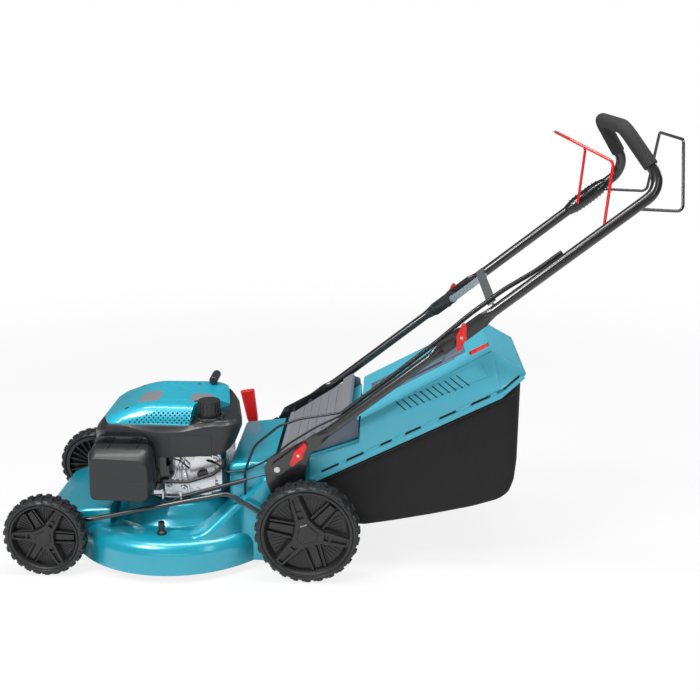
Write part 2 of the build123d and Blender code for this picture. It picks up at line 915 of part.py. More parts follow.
def rim(x, z, diameter, inner_y, outer_y, bore, ring_gear, turn):
    """Wheel with a dished web, spokes, hub cap and, at the rear, an internal ring gear."""
    radius = diameter / 2 - tyre_thickness - seat_gap / 2
    hub = hub_diameter / 2
    web_outer = outer_y - web_inset
    web_inner = web_outer - web_thickness
    profile = [
        (bore, inner_y + 2),
        (hub, inner_y + 2),
        (hub, web_inner),
        (radius - rim_band, web_inner),
        (radius - rim_band, inner_y + 1),
        (radius, inner_y + 1),
        (radius, outer_y - 1),
        (radius - rim_band, outer_y - 1),
        (radius - rim_band, web_outer),
        (hub, web_outer),
        (hub, outer_y - 2),
        (bore, outer_y - 2),
    ]
    wheel = turned_across(profile, 0, 0)
    spoke = block(
        -spoke_width / 2, spoke_width / 2, web_outer, web_outer + spoke_depth, hub - 2, radius - rim_band + 1,
    )
    for number in range(spoke_count):
        wheel += Rot(0, turn + 360 * number / spoke_count, 0) * spoke
    cap = cross_cylinder(0, 0, hub_cap_diameter / 2, web_outer, outer_y)
    wheel += cap - cross_cylinder(0, 0, bore, web_outer, outer_y - hub_cap_height)
    if ring_gear:
        outside = tooth_module * ring_teeth / 2 + tooth_root + ring_wall
        mesh = degrees(atan2(shaft_z - rear_z, shaft_x)) + 180 / ring_teeth
        teeth = make_face(Polyline(*gear_outline(ring_teeth, True), close=True))
        face = Plane.XZ * (Circle(outside) - Rot(0, 0, mesh) * teeth)
        wheel += extrude(Pos(0, web_inner, 0) * face, web_inner - inner_y - 2)
    return Pos(x, 0, z) * wheel


def pinion():
    """Drive pinion on the left end of the drive shaft, in mesh with its ring gear."""
    low = rear_inner_y + 4
    mesh = degrees(atan2(shaft_z - rear_z, shaft_x))
    teeth = make_face(Polyline(*gear_outline(pinion_teeth, False), close=True))
    face = Plane.XZ * (Rot(0, 0, mesh) * teeth - Circle(shaft_diameter / 2 + running_gap))
    return Pos(shaft_x, 0, shaft_z) * extrude(Pos(0, low + gear_width, 0) * face, gear_width)


# Axles and height adjustment

def rear_axle_frame():
    """Rear wheel arms with the axle, rod pin and lever rod."""
    plate = [(shaft_x, shaft_z, arm_eye_radius), (0, rear_z, arm_eye_radius)]
    near = hull_plate(plate + [(rear_pin[0], rear_pin[1], pin_eye_radius)], -arm_outside, -arm_inside)
    near += cross_cylinder(rear_pin[0], rear_pin[1], pin_diameter / 2, -rod_plane - 6, -arm_outside)
    lever_foot = (shaft_x - 78, shaft_z + 28)
    far = hull_plate(plate + [(lever_foot[0], lever_foot[1], pin_eye_radius)], arm_inside, arm_outside)
    end = rear_outer_y - hub_cap_height - 1
    axle = cross_cylinder(0, rear_z, stub_diameter / 2, -end, end)
    lever = bent_wire(
        [
            (lever_foot[0], arm_outside - 1, lever_foot[1]),
            (lever_foot[0] - 30, arm_outside + 6, lever_foot[1] + 4),
            (lever_foot[0] - 52, lever_plane, lever_foot[1] + 22),
            (lever_foot[0] - 65, lever_plane, lever_foot[1] + 82),
            (lever_foot[0] - 74, lever_plane, lever_foot[1] + 140),
        ],
        [12, 20, 60],
        lever_diameter,
    )
    frame = near + far + axle + lever
    return frame - cross_cylinder(shaft_x, shaft_z, shaft_diameter / 2 + running_gap, -arm_outside, arm_outside)


def lever_top():
    """End of the height lever's rod, where its grip starts, and the rod's direction there."""
    foot = Vector(shaft_x - 78, lever_plane, shaft_z + 28)
    start = foot + Vector(-65, 0, 82)
    end = foot + Vector(-74, 0, 140)
    return start, (end - start).normalized()


def height_grip():
    """Red grip of the height lever."""
    start, axis = lever_top()
    width = Plane(origin=start, x_dir=(0, 1, 0), z_dir=axis)
    low = width * SlotOverall(lever_grip_thickness * 0.9, lever_grip_width * 0.4, rotation=90)
    waist = width.offset(lever_grip_length * 0.3) * SlotOverall(
        lever_grip_width * 0.8, lever_grip_thickness * 0.9, rotation=90
    )
    top = width.offset(lever_grip_length) * SlotOverall(lever_grip_width, lever_grip_thickness, rotation=90)
    grip = loft([low, waist, top], ruled=True)
    bore = width * Circle(lever_diameter / 2)
    return grip - extrude(bore, hypot(9, 58) + seat_gap)


def front_axle():
    """Cranked front axle with a stub for each front wheel."""
    inside = front_arm_inside
    outside = inside + front_arm_thickness
    plate = [(front_pivot_x, front_pivot_z, pin_eye_radius + 4), (front_x, front_z, pin_eye_radius + 4)]
    far = hull_plate(plate, inside, outside)
    near = hull_plate(plate + [(front_pin[0], front_pin[1], pin_eye_radius)], -outside, -inside)
    near += cross_cylinder(front_pin[0], front_pin[1], pin_diameter / 2, -rod_plane - 6, -outside)
    stub = cross_cylinder(front_x, front_z, stub_diameter / 2, outside, front_outer_y - hub_cap_height - 1)
    bar = cross_cylinder(front_pivot_x, front_pivot_z, front_bar_diameter / 2, -inside, inside)
    return near + far + both_sides(stub) + bar


def connecting_rod():
    """Rod that turns the front axle with the rear axle frame."""
    points = [
        (front_pin[0], -rod_plane, front_pin[1]),
        (front_x + 4, -rod_plane, front_z + 19),
        (-533, -rod_plane, 130),
        (-196, -rod_plane, 205),
        (-126, -rod_plane, 161),
        (rear_pin[0], -rod_plane, rear_pin[1]),
    ]
    half = rod_diameter / 2 + seat_gap
    rod = bent_wire(points, [80, 200, 44, 60], rod_diameter)
    for x, z in (front_pin, rear_pin):
        rod += cross_cylinder(x, z, pin_eye_radius, -rod_plane - half, -rod_plane + half)
        rod -= cross_cylinder(x, z, pin_diameter / 2 + running_gap, -rod_plane - 9, -rod_plane + 9)
    return rod


def height_gate():
    """Notched arc beside the height lever, on a foot from the deck's far flank."""
    high = lever_plane - lever_diameter / 2 - gate_lever_gap
    low = high - gate_thickness
    ring = cross_cylinder(0, 0, gate_radius + gate_height / 2, low, high)
    ring -= cross_cylinder(0, 0, gate_radius - gate_height / 2, low, high)
    span = side_prism([(0, 0), (-260, 90), (-200, 260), (8, 260)], low, high)
    arc = ring & span
    for notch in range(gate_notches):
        angle = radians(92 + 58 * notch / (gate_notches - 1))
        reach = gate_radius + gate_height / 2
        arc -= cross_cylinder(reach * cos(angle), reach * sin(angle), lever_diameter / 2, low, high)
    arc = Pos(shaft_x, 0, shaft_z) * arc
    foot = block(-190, -170, 196, high, 146, 184)
    return arc + foot


def assist_spring():
    """Sleeved spring from the bracket to the connecting rod."""
    y = -bracket_outside - spring_wire / 2 - seat_gap
    points = [(-338, y - 4.8, 176.6), (-316, y, 186.6), (-151, y, 236), (-99, y, 252)]
    wire = bent_wire(points, [30, 200], spring_wire)
    sleeve = bent_wire([(-308, y, 189), (-151, y, 236)], [], spring_sleeve)
    return wire + sleeve


# Wheel drive

def gearbox():
    """Worm gearbox round the drive shaft."""
    case = block(
        shaft_x - gearbox_length / 2 - 2, shaft_x + gearbox_length / 2 - 5,
        gearbox_y - gearbox_width / 2, gearbox_y + gearbox_width / 2,
        shaft_z - gearbox_height / 2, shaft_z + gearbox_height / 2,
    )
    case = fillet(case.edges().filter_by(Axis.Z), 8)
    hole = shaft_diameter / 2 + running_gap
    case -= cross_cylinder(shaft_x, shaft_z, hole, gearbox_y - gearbox_width, gearbox_y + gearbox_width)
    low = shaft_z - gearbox_height / 2
    return case - upright_cylinder(gearbox_pulley_x, gearbox_y, 5 + running_gap, low, low + 16)


def gearbox_pulley():
    """Input pulley of the gearbox on its short shaft."""
    low = belt_z - belt_height / 2
    high = belt_z + belt_height / 2
    rim_radius = gearbox_pulley_radius + belt_thickness
    profile = [
        (0, low - pulley_flange),
        (rim_radius, low - pulley_flange),
        (rim_radius, low),
        (gearbox_pulley_radius, low),
        (gearbox_pulley_radius, high),
        (rim_radius, high),
        (rim_radius, high + pulley_flange),
        (5, high + pulley_flange),
        (5, shaft_z - gearbox_height / 2 + 15),
        (0, shaft_z - gearbox_height / 2 + 15),
    ]
    return turned(profile, gearbox_pulley_x, gearbox_y)


def drive_belt():
    """Belt round the engine pulley and the gearbox pulley."""
    loops = []
    for extra in (slide_gap, slide_gap + belt_thickness - 1):
        first = Pos(blade_x, 0) * Circle(engine_pulley_radius + extra)
        second = Pos(gearbox_pulley_x, gearbox_y) * Circle(gearbox_pulley_radius + extra)
        loops.append(make_hull(first.edges() + second.edges()))
    height = belt_height - 2 * slide_gap
    return extrude(Pos(0, 0, belt_z - height / 2) * (loops[1] - loops[0]), height)


def drive_shaft():
    """Shaft from wheel to wheel."""
    end = rear_inner_y + 4 + gear_width + 2
    return cross_cylinder(shaft_x, shaft_z, shaft_diameter / 2, -end, end)


# Handle

def handle_bracket():
    """Near-side plate that carries the handle, the flap rod and the drive shaft."""
    outline = [
        (-96, 291),
        (-108, 268),
        (-102, 226),
        (shaft_x - 26, 150),
        (shaft_x - 22, shaft_z - 20),
        (shaft_x + 22, shaft_z - 20),
        (shaft_x + 30, 150),
        (-7, 259),
        (-2, 288),
        (17, 339),
        (2, 346),
    ]
    plate = side_prism(outline, -bracket_outside, -bracket_inside)
    low, high = -bracket_outside - 1, -bracket_inside + 1
    plate -= cross_cylinder(shaft_x, shaft_z, shaft_diameter / 2 + running_gap, low, high)
    plate -= cross_cylinder(hinge_x, hinge_z, hinge_rod_diameter / 2 + seat_gap, low, high)
    pivot = handle_point(-pivot_distance)
    plate -= cross_cylinder(pivot.X, pivot.Z, bolt_diameter / 2 + running_gap, low, high)
    slot = bolt_diameter / 2 + slide_gap
    steps = 8
    for step in range(-steps, steps + 1):
        angle = radians(handle_angle + slot_half_angle * step / steps)
        x = pivot.X + pivot_distance * cos(angle)
        z = pivot.Z + pivot_distance * sin(angle)
        plate -= cross_cylinder(x, z, slot, low, high)
    return plate


def flat_bar(start, end, y_low, y_high):
    """Flattened stretch of tube between two distances along the handle."""
    a, b = handle_point(start), handle_point(end)
    return hull_plate([(a.X, a.Z, flat_height / 2), (b.X, b.Z, flat_height / 2)], y_low, y_high)


def taper(round_at, flat_at, y_round, y_flat, diameter):
    """Stretch where a round tube turns into a flattened end."""
    start = Plane(origin=handle_point(round_at, y=y_round), x_dir=(0, 1, 0), z_dir=along)
    ring = start * Circle(diameter / 2 - seat_gap)
    flat = Plane(origin=handle_point(flat_at, y=y_flat), x_dir=(0, 1, 0), z_dir=along)
    slot = flat * SlotOverall(flat_height + weld_lap, flat_thickness + weld_lap, rotation=90)
    return loft([ring, slot])


def bolt_holes(piece, distances):
    """Piece with clearance holes for bolts along y."""
    for distance in distances:
        point = handle_point(distance)
        radius = bolt_diameter / 2 + running_gap
        piece -= cross_cylinder(point.X, point.Z, radius, -handle_half - 60, -handle_half + 60)
    return piece


def lower_tube():
    """Near-side lower handle tube with flattened ends."""
    low_outer = -bracket_outside - face_gap - flat_thickness
    low_centre = low_outer + flat_thickness / 2
    high_inner = -handle_half + seat_gap
    high_centre = high_inner + flat_thickness / 2
    first = flat_bar(-pivot_distance, flat_run, low_outer, low_outer + flat_thickness)
    last = flat_bar(knob_distance - flat_run, knob_distance, high_inner, high_inner + flat_thickness)
    start = flat_run + taper_run
    end = knob_distance - flat_run - taper_run
    run = [handle_point(start - weld_lap, y=-handle_half), handle_point(end + weld_lap, y=-handle_half)]
    tube = bent_wire(run, [], lower_tube_diameter)
    tube += taper(start, flat_run, -handle_half, low_centre, lower_tube_diameter)
    tube += taper(end, knob_distance - flat_run, -handle_half, high_centre, lower_tube_diameter)
    tube += first
    tube += last
    tube -= bent_wire(run, [], lower_tube_diameter - 2 * tube_wall)
    return bolt_holes(tube, (-pivot_distance, 0, knob_distance))


def upper_path():
    """Corner points of the upper handle's centre line, from the near side to the far side."""
    start = handle_point(knob_distance + upper_flat_run + taper_run - weld_lap, y=-handle_half)
    bend = handle_point(bend_distance, y=-handle_half)
    crown = Vector(crown_x, -crown_half, crown_z_handle)
    near = [start, bend, crown]
    far = [Vector(p.X, -p.Y, p.Z) for p in reversed(near)]
    return near + far


def upper_handle():
    """Upper handle: one tube bent to a U, with flattened ends."""
    radii = [bend_radius, crown_radius, crown_radius, bend_radius]
    tube = bent_wire(upper_path(), radii, upper_tube_diameter)
    outer = -handle_half - seat_gap - flat_thickness
    centre = outer + flat_thickness / 2
    flat = flat_bar(knob_distance, knob_distance + upper_flat_run, outer, outer + flat_thickness)
    end = knob_distance + upper_flat_run
    flat += taper(end + taper_run, end, -handle_half, centre, upper_tube_diameter)
    tube += both_sides(bolt_holes(flat, (knob_distance,)))
    tube -= bent_wire(upper_path(), radii, upper_tube_diameter - 2 * tube_wall)
    for x, z in (brake_pivot, drive_pivot):
        hole = bail_diameter / 2 + running_gap
        tube -= both_sides(cross_cylinder(x, z, hole, -handle_half, -bail_leg_y))
    return tube


def foam_grip():
    """Foam sleeve round the crown of the upper handle."""
    near = upper_path()[1:3]
    direction = (near[1] - near[0]).normalized()
    start = near[0] + direction * foam_start
    points = [start, near[1], Vector(near[1].X, -near[1].Y, near[1].Z), Vector(start.X, -start.Y, start.Z)]
    return bent_wire(points, [crown_radius, crown_radius], foam_diameter, upper_tube_diameter + seat_gap)


def handle_brace():
    """Flat strip between the sides of the upper handle, with ends bent down to the knob bolts."""
    outer = handle_half - upper_tube_diameter / 2 - seat_gap
    low = handle_point(knob_distance, -brace_drop)
    high = handle_point(knob_distance + brace_distance, -brace_drop)
    half = brace_width / 2 - 2
    leg = hull_plate([(low.X, low.Z, half), (high.X, high.Z, half)], -outer, -outer + brace_thickness)
    point = handle_point(knob_distance)
    leg -= cross_cylinder(point.X, point.Z, bolt_diameter / 2 + slide_gap, -outer - 1, -outer + 9)
    rise = handle_point(knob_distance + brace_distance, brace_rise)
    web = hull_plate([(high.X, high.Z, half), (rise.X, rise.Z, 2)], -outer, -outer + brace_thickness)
    plane = Plane(origin=(rise.X, 0, rise.Z), x_dir=along, z_dir=square)
    strip = extrude(plane * Rectangle(brace_width, 2 * outer), brace_thickness)
    return both_sides(leg + web) + strip


def wing_knob(distance, base, turn):
    """Near-side wing knob on a handle bolt, turned to the given angle."""
    point = handle_point(distance)
    reach = knob_length / 2 - knob_width / 4
    u, w = reach * cos(radians(turn)), reach * sin(radians(turn))
    tip = knob_width / 4
    wings = hull_plate(
        [(point.X - u, point.Z - w, tip), (point.X, point.Z, knob_width / 2), (point.X + u, point.Z + w, tip)],
        -base - knob_thickness, -base,
    )
    hub = cross_cylinder(point.X, point.Z, knob_hub_diameter / 2, -base - knob_hub_height, -base)
    bore = cross_cylinder(
        point.X, point.Z, bolt_diameter / 2 + running_gap, -base - knob_hub_height, -base,
    )
    return wings + hub - bore


def knob_bolts():
    """Bolts of the four wing knobs, with flat heads on the inner side."""
    bolts = None
    upper_head = handle_half - upper_tube_diameter / 2 - seat_gap - brace_thickness - seat_gap
    lower_head = bracket_inside - seat_gap
    for distance, head, base in ((0, lower_head, lower_base), (knob_distance, upper_head, upper_base)):
        point = handle_point(distance)
        shank = cross_cylinder(point.X, point.Z, bolt_diameter / 2, -base - knob_hub_height + 1, -head)
        top = cross_cylinder(point.X, point.Z, bolt_head_diameter / 2, -head, -head + bolt_head_height)
        bolt = both_sides(shank + top)
        bolts = bolt if bolts is None else bolts + bolt
    return bolts


def deck_fasteners():
    """Handle pivot bolts and the bolts that hold the engine on the deck."""
    pivot = handle_point(-pivot_distance)
    outer = bracket_outside + face_gap + flat_thickness + seat_gap
    shank = cross_cylinder(pivot.X, pivot.Z, bolt_diameter / 2, -outer, -bracket_inside)
    head = cross_cylinder(pivot.X, pivot.Z, bolt_head_diameter / 2, -outer - bolt_head_height, -outer)
    group = both_sides(shank + head)
    for turn in (45, 135, 225, 315):
        x = blade_x + (case_flange_radius - 12) * cos(radians(turn))
        y = (case_flange_radius - 12) * sin(radians(turn))
        low = seat_z - deck_wall - 5
        group += upright_cylinder(x, y, 7, low, seat_z - deck_wall)
    return group


def flap_rod():
    """Hinge rod of the rear flap, held in the brackets."""
    return cross_cylinder(hinge_x, hinge_z, hinge_rod_diameter / 2, -bracket_outside, bracket_outside)


def bail(pivot, knee, bar):
    """Bent wire bail: pivot pins, legs and top bar."""
    points = [
        Vector(pivot[0], -bail_pin_reach, pivot[1]),
        Vector(pivot[0], -bail_leg_y, pivot[1]),
        Vector(knee[0], -bail_leg_y, knee[1]),
        Vector(bar[0], -bail_bar_half, bar[1]),
    ]
    points += [Vector(p.X, -p.Y, p.Z) for p in reversed(points)]
    small = bail_diameter
    corners = [small, bail_corner, bail_corner, bail_corner, bail_corner, small]
    return bent_wire(points, corners, bail_diameter)


def control_housing():
    """Two-lobed housing on the far tube that the bails enter."""
    start = handle_point(housing_centre - housing_length / 2, y=handle_half)
    plane = Plane(origin=start, x_dir=(0, 1, 0), z_dir=along)
    body = extrude(plane * RectangleRounded(housing_width, housing_height, 8), housing_length)
    body -= extrude(plane * Circle(upper_tube_diameter / 2 + seat_gap), housing_length)
    for x, z in (brake_pivot, drive_pivot):
        radius = bail_diameter / 2 + housing_hole
        body -= cross_cylinder(x, z, radius, handle_half - housing_width, handle_half)
    return body


# Cables

def cable_conduit():
    """Ribbed conduit along the near side of the handle, over the brace."""
    y = -handle_half + 18
    points = [
        handle_point(140, 13, y),
        handle_point(300, 13.5, y),
        handle_point(430, 17, y),
        handle_point(520, 23, y),
        handle_point(620, 23, y),
        handle_point(700, 14, y),
        handle_point(775, 13, y),
    ]
    return bent_wire(points, [600, 600, 500, 400, 400], conduit_diameter)


def brake_cable():
    """Cable from the handle to the brake lever on the engine block."""
    start = handle_point(138.5, 10, -handle_half + 16)
    points = [
        start,
        handle_point(70, 22, -178),
        handle_point(-10, 28, -174),
        (-98, -170, 280),
        (-156, -166, 250),
        (-201, -166, 243),
        (-230, -137, 255),
        (-258, -135, 262),
        (-258, case_near_y - seat_gap, 262),
    ]
    return bent_wire(points, [300, 200, 200, 60, 26, 40, 10], brake_cable_diameter)


def drive_cable():
    """Cable from the handle to the gearbox, through the deck's ledge."""
    start = handle_point(138.5, 15.4, -handle_half + 20)
    points = [
        start,
        (-21, -168, 386),
        (-72, -164, 366),
        (-134, -160, 312),
        (drive_cable_x, drive_cable_y, 250),
        (drive_cable_x, drive_cable_y, 160),
    ]
    return bent_wire(points, [200, 70, 60, 60], drive_cable_diameter)


# Rear flap and grass bag

def rear_flap():
    """Rear flap with side skirts, cross ribs and a lifting lip."""
    slope = Vector(cos(radians(flap_angle)), 0, sin(radians(flap_angle)))
    start = Vector(hinge_x, 0, hinge_z) + slope * (knuckle_radius + 1)
    end = Vector(hinge_x, 0, hinge_z) + slope * flap_length
    plane = Plane(origin=start, x_dir=slope, z_dir=(-slope.Z, 0, slope.X))
    length = (end - start).length
    align = (Align.MIN, Align.CENTER)
    outer_half = flap_half + flap_wall
    plate = extrude(plane * Rectangle(length, 2 * outer_half, align=align), flap_wall)
    pitch = (length - flap_lip_length) / (flap_rib_count + 1)
    for rib in range(flap_rib_count):
        spot = Pos(pitch * (rib + 1), 0, flap_wall)
        bar = Rectangle(flap_rib_width, 2 * flap_half - 20, align=align)
        plate += extrude(plane * (spot * bar), flap_rib_height)
    lip = Pos(length - flap_lip_length, 0, flap_wall) * Rectangle(flap_lip_length, 2 * outer_half, align=align)
    plate += extrude(plane * lip, flap_lip_rise)
    knuckle = cross_cylinder(hinge_x, hinge_z, knuckle_radius, -flap_half, flap_half)
    knuckle += extrude(
        Plane(origin=(hinge_x, 0, hinge_z), x_dir=slope, z_dir=plane.z_dir)
        * Rectangle(knuckle_radius + 3, 2 * flap_half, align=align),
        flap_wall,
    )
    up = plane.z_dir * (flap_wall / 2)
    skirt_outline = [
        (start.X + up.X, start.Z + up.Z),
        (end.X + up.X, end.Z + up.Z),
        (end.X + 14, end.Z - 4),
        (end.X + 21, end.Z - 58),
        (end.X - 87, end.Z - 97),
        (start.X + 18, start.Z),
    ]
    skirt = side_prism(skirt_outline, -flap_half - flap_wall, -flap_half)
    flap = plate + knuckle + both_sides(skirt)
    bore = hinge_rod_diameter / 2 + running_gap
    return flap - cross_cylinder(hinge_x, hinge_z, bore, -flap_half, flap_half)


def lid_side(inset):
    """Side outline of the full-width part of the lid."""
    return [
        (bag_front_x + inset, 222 - 3 * inset),
        (bag_front_x + inset, 288 - inset),
        (121 + inset, 331 - inset),
        (124 + inset, 388 - inset),
        (431, 556 - inset),
        (486 - inset, 534 - inset),
        (512 - inset, 505 - inset),
        (508, 500 - 3 * inset),
        (456, 449 - 3 * inset),
    ]


def lid_body(inset):
    """Lid with bevelled long edges that widen to the rear, drawn in by the given wall."""
    body = side_prism(lid_side(inset), -lid_half + inset, lid_half - inset)
    slope = Vector(307, 0, 168).normalized()
    up = Vector(-slope.Z, 0, slope.X)
    for side in (-1, 1):
        ends = []
        for run, (down, across) in ((-2, lid_bevel_front), (350, lid_bevel_rear)):
            corner = Vector(124, side * (lid_half - inset), 388 - inset) + slope * run
            low = corner - up * down
            inner = corner - Vector(0, side * across, 0)
            outer = corner + Vector(0, side * 9, 0) + up * 9
            side_point = low + Vector(0, side * 9, 0)
            top_point = inner + up * 9
            ends.append(Face(Wire.make_polygon([low, inner, top_point, outer, side_point], close=True)))
        body -= loft(ends, ruled=True)
    return body


def neck(inset):
    """Narrow front of the lid under the flap."""
    outline = [
        (bag_front_x + inset, 225 - 3 * inset),
        (bag_front_x + inset, 302 - inset),
        (98, 364 - inset),
        (124 + 2 * inset, 381 - inset),
        (124 + 2 * inset, 285 - 3 * inset),
    ]
    return side_prism(outline, -neck_half + inset, neck_half - inset)


def tray_plane():
    """Plane on the lid's sloping top, at the middle of the carry handle."""
    slope = Vector(307, 0, 168).normalized()
    centre = Vector(124, 0, 388) + slope * 148
    return Plane(origin=centre, x_dir=slope, z_dir=Vector(-slope.Z, 0, slope.X))


def window_plane():
    """Plane on the lid's sloping top, at the bag-full window."""
    slope = Vector(307, 0, 168).normalized()
    centre = Vector(124, window_y, 388) + slope * ((window_x - 124) / slope.X)
    return Plane(origin=centre, x_dir=slope, z_dir=Vector(-slope.Z, 0, slope.X))


def bag_lid():
    """Hard lid of the grass bag with its neck, carry tray and window."""
    lid = lid_body(0) + neck(0) - lid_body(lid_wall) - neck(lid_wall)
    plane = tray_plane()
    outside = plane * Rectangle(tray_length, 2 * tray_half)
    inside = plane * Rectangle(tray_length - 2 * lid_wall, 2 * tray_half - 2 * lid_wall)
    lid -= extrude(inside, -tray_depth)
    lid += extrude(outside, -tray_depth) - extrude(inside, -tray_depth + lid_wall)
    lid -= extrude(window_plane() * Rectangle(window_length, window_width), 10, both=True)
    for side in (-1, 1):
        lid += hinge_ear(side)
    lid -= window_hinge(window_pin + 2 * running_gap, window_width + 4 * window_ear)
    return lid - block(-20, 30, -mouth_half, mouth_half, mouth_low_z, mouth_top_z)


def window_hinge(diameter, width):
    """Cylinder on the hinge line of the bag-full flap, under the lid."""
    plane = window_plane()
    centre = plane.from_local_coords(Vector(-window_length / 2 - window_hinge_in, 0, -lid_wall - window_hinge_drop))
    return cross_cylinder(centre.X, centre.Z, diameter / 2, window_y - width / 2, window_y + width / 2)


def hinge_ear(side):
    """Ear under the lid at one end of the bag-full flap's hinge pin."""
    across = side * (window_width / 2 + window_ear)
    along_lid = -window_length / 2 - window_hinge_in
    face = window_plane() * (Pos(along_lid, across) * Rectangle(window_barrel + 2, window_ear))
    return extrude(face, -lid_wall - window_hinge_drop - window_barrel / 2 - 1) - lid_skin()


def lid_skin():
    """Room above the middle of the lid's wall, used to keep ears under it."""
    plane = window_plane().offset(-lid_wall / 2)
    return extrude(plane * Rectangle(4 * window_length, 4 * window_width), 2 * lid_wall)


def carry_handle():
    """Grey bar across the tray, for lifting the bag out."""
    plane = tray_plane()
    length = tray_length - 2 * lid_wall - 2 * seat_gap
    bar = extrude(plane * Rectangle(length, carry_width), -carry_thickness)
    root = plane * (Pos(length / 2 - carry_root / 2, 0) * Rectangle(carry_root, carry_width))
    deep = -tray_depth + lid_wall + seat_gap
    bar += extrude(root, deep)
    far = plane * (Pos(-length / 2 + carry_root / 2, 0) * Rectangle(carry_root, carry_width))
    return bar + extrude(far, deep)


def full_flap():
    """Red flap in the lid's window that drops when the bag is full, with its hinge barrel and pin."""
    plane = window_plane()
    width = window_width - 2 * slide_gap
    front = -window_length / 2 + slide_gap
    length = window_length - 5 * slide_gap
    align = (Align.MIN, Align.CENTER)
    plate = extrude(plane * (Pos(front, 0) * Rectangle(length, width, align=align)), -lid_wall + slide_gap)
    drop = lid_wall + window_hinge_drop
    arm_start = plane.offset(-drop + window_barrel / 2 - slide_gap)
    reach = window_barrel + window_hinge_in
    strap = arm_start * (Pos(-window_length / 2 - window_hinge_in, 0) * Rectangle(reach + 4, width, align=align))
    flap = plate + extrude(strap, -window_barrel / 2)
    post = plane.offset(-lid_wall + 2 * slide_gap) * (Pos(front + 2, 0) * Rectangle(4, width, align=align))
    flap += extrude(post, -window_hinge_drop - slide_gap)
    flap += window_hinge(window_barrel, width)
    return flap + window_hinge(window_pin, window_width + 3 * window_ear)


def bag_fabric():
    """Fabric bag, open at the top and at its mouth."""
    drop = face_gap + 0.2
    outline = [
        (bag_front_x, 158),
        (60, 122),
        (130, 103),
        (300, 135),
        (469, 179),
        (499, 222),
        (502, 489 - drop),
        (456, 449 - drop),
        (bag_front_x, 222 - drop),
    ]
    wall = fabric_wall
    room = [
        (bag_front_x + wall, 160),
        (62, 122 + wall),
        (130, 103 + wall),
        (300, 135 + wall),
        (467, 179 + wall),
        (499 - wall, 223),
        (502 - wall, 560),
        (456, 560),
        (bag_front_x + wall, 320),
    ]
    bag = side_prism(outline, -bag_half, bag_half) - side_prism(room, -bag_half + wall, bag_half - wall)
    return bag - block(-20, 30, -mouth_half, mouth_half, mouth_low_z, mouth_top_z)


lower_base = bracket_outside + face_gap + flat_thickness + seat_gap
upper_base = handle_half + seat_gap + flat_thickness + seat_gap

left = lower_tube()
pinion_left = mirror(pinion(), Plane.XZ)
bore_rear = stub_diameter / 2 + running_gap
pieces = {
    "deck_shell": deck_shell(),
    "wash_port": wash_port(),
    "handle_brackets": both_sides(handle_bracket()),
    "flap_rod": flap_rod(),
    "deck_fasteners": deck_fasteners(),
    "engine_block": engine_block(),
    "engine_shroud": engine_shroud(),
    "top_cover": top_cover() + starter_post(),
    "carburettor": carburettor(),
    "muffler": muffler(),
    "fuel_hose": fuel_hose(),
    "starter_rope": starter_rope(),
    "starter_reel": starter_reel(),
    "starter_grip": starter_grip(),
    "fuel_cap": fuel_cap(),
    "filter_cover": filter_cover(),
    "blade": blade(),
    "blade_adapter": blade_adapter(),
    "crankshaft": crankshaft(),
    "flywheel": flywheel(),
    "gearbox": gearbox(),
    "gearbox_pulley": gearbox_pulley(),
    "drive_belt": drive_belt(),
    "drive_shaft": drive_shaft(),
    "right_pinion": pinion(),
    "left_pinion": pinion_left,
    "rear_axle_frame": rear_axle_frame(),
    "height_grip": height_grip(),
    "height_gate": height_gate() - flank(0),
    "front_axle": front_axle(),
    "connecting_rod": connecting_rod(),
    "assist_spring": assist_spring(),
    "lower_handle": both_sides(left),
    "knob_bolts": knob_bolts(),
    "upper_handle": upper_handle(),
    "foam_grip": foam_grip(),
    "handle_brace": handle_brace(),
    "control_housing": control_housing(),
    "brake_bail": bail(brake_pivot, brake_knee, brake_bar),
    "drive_bail": bail(drive_pivot, drive_knee, drive_bar),
    "cable_conduit": cable_conduit(),
    "brake_cable": brake_cable(),
    "drive_cable": drive_cable(),
    "rear_flap": rear_flap(),
    "bag_lid": bag_lid(),
    "bag_handle": carry_handle(),
    "bag_fabric": bag_fabric(),
    "bag_full_flap": full_flap(),
}
for name, distance, base, turn in (
    ("lower", 0, lower_base, 56),
    ("upper", knob_distance, upper_base, 78),
):
    knob = wing_knob(distance, base, turn)
    pieces[f"left_{name}_knob"] = knob
    pieces[f"right_{name}_knob"] = mirror(knob, Plane.XZ)
for end, x, z, diameter, inner, outer in (
    ("rear", 0, rear_z, rear_wheel_diameter, rear_inner_y, rear_outer_y),
    ("front", front_x, front_z, front_wheel_diameter, front_inner_y, front_outer_y),
):
    wheel_rim = rim(x, z, diameter, inner, outer, bore_rear, end == "rear", 12)
    wheel_tyre = tyre(x, z, diameter, inner, outer)
    pieces[f"{end}_right_rim"] = wheel_rim
    pieces[f"{end}_right_tyre"] = wheel_tyre
    pieces[f"{end}_left_rim"] = mirror(wheel_rim, Plane.XZ)
    pieces[f"{end}_left_tyre"] = mirror(wheel_tyre, Plane.XZ)

os.makedirs("parts", exist_ok=True)
for name, piece in pieces.items():
    export_step(Pos(-origin_x, 0, 0) * piece, f"parts/{name}.step")
print(len(pieces), "nodes, origin at", round(origin_x, 2), "behind the rear wheels' centre line")
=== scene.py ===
import json
from math import copysign, cos, hypot, pi, radians, sin, tan

import bmesh
import bpy
from bpy.props import FloatProperty, FloatVectorProperty, IntProperty, PointerProperty
from mathutils import Matrix, Vector, noise

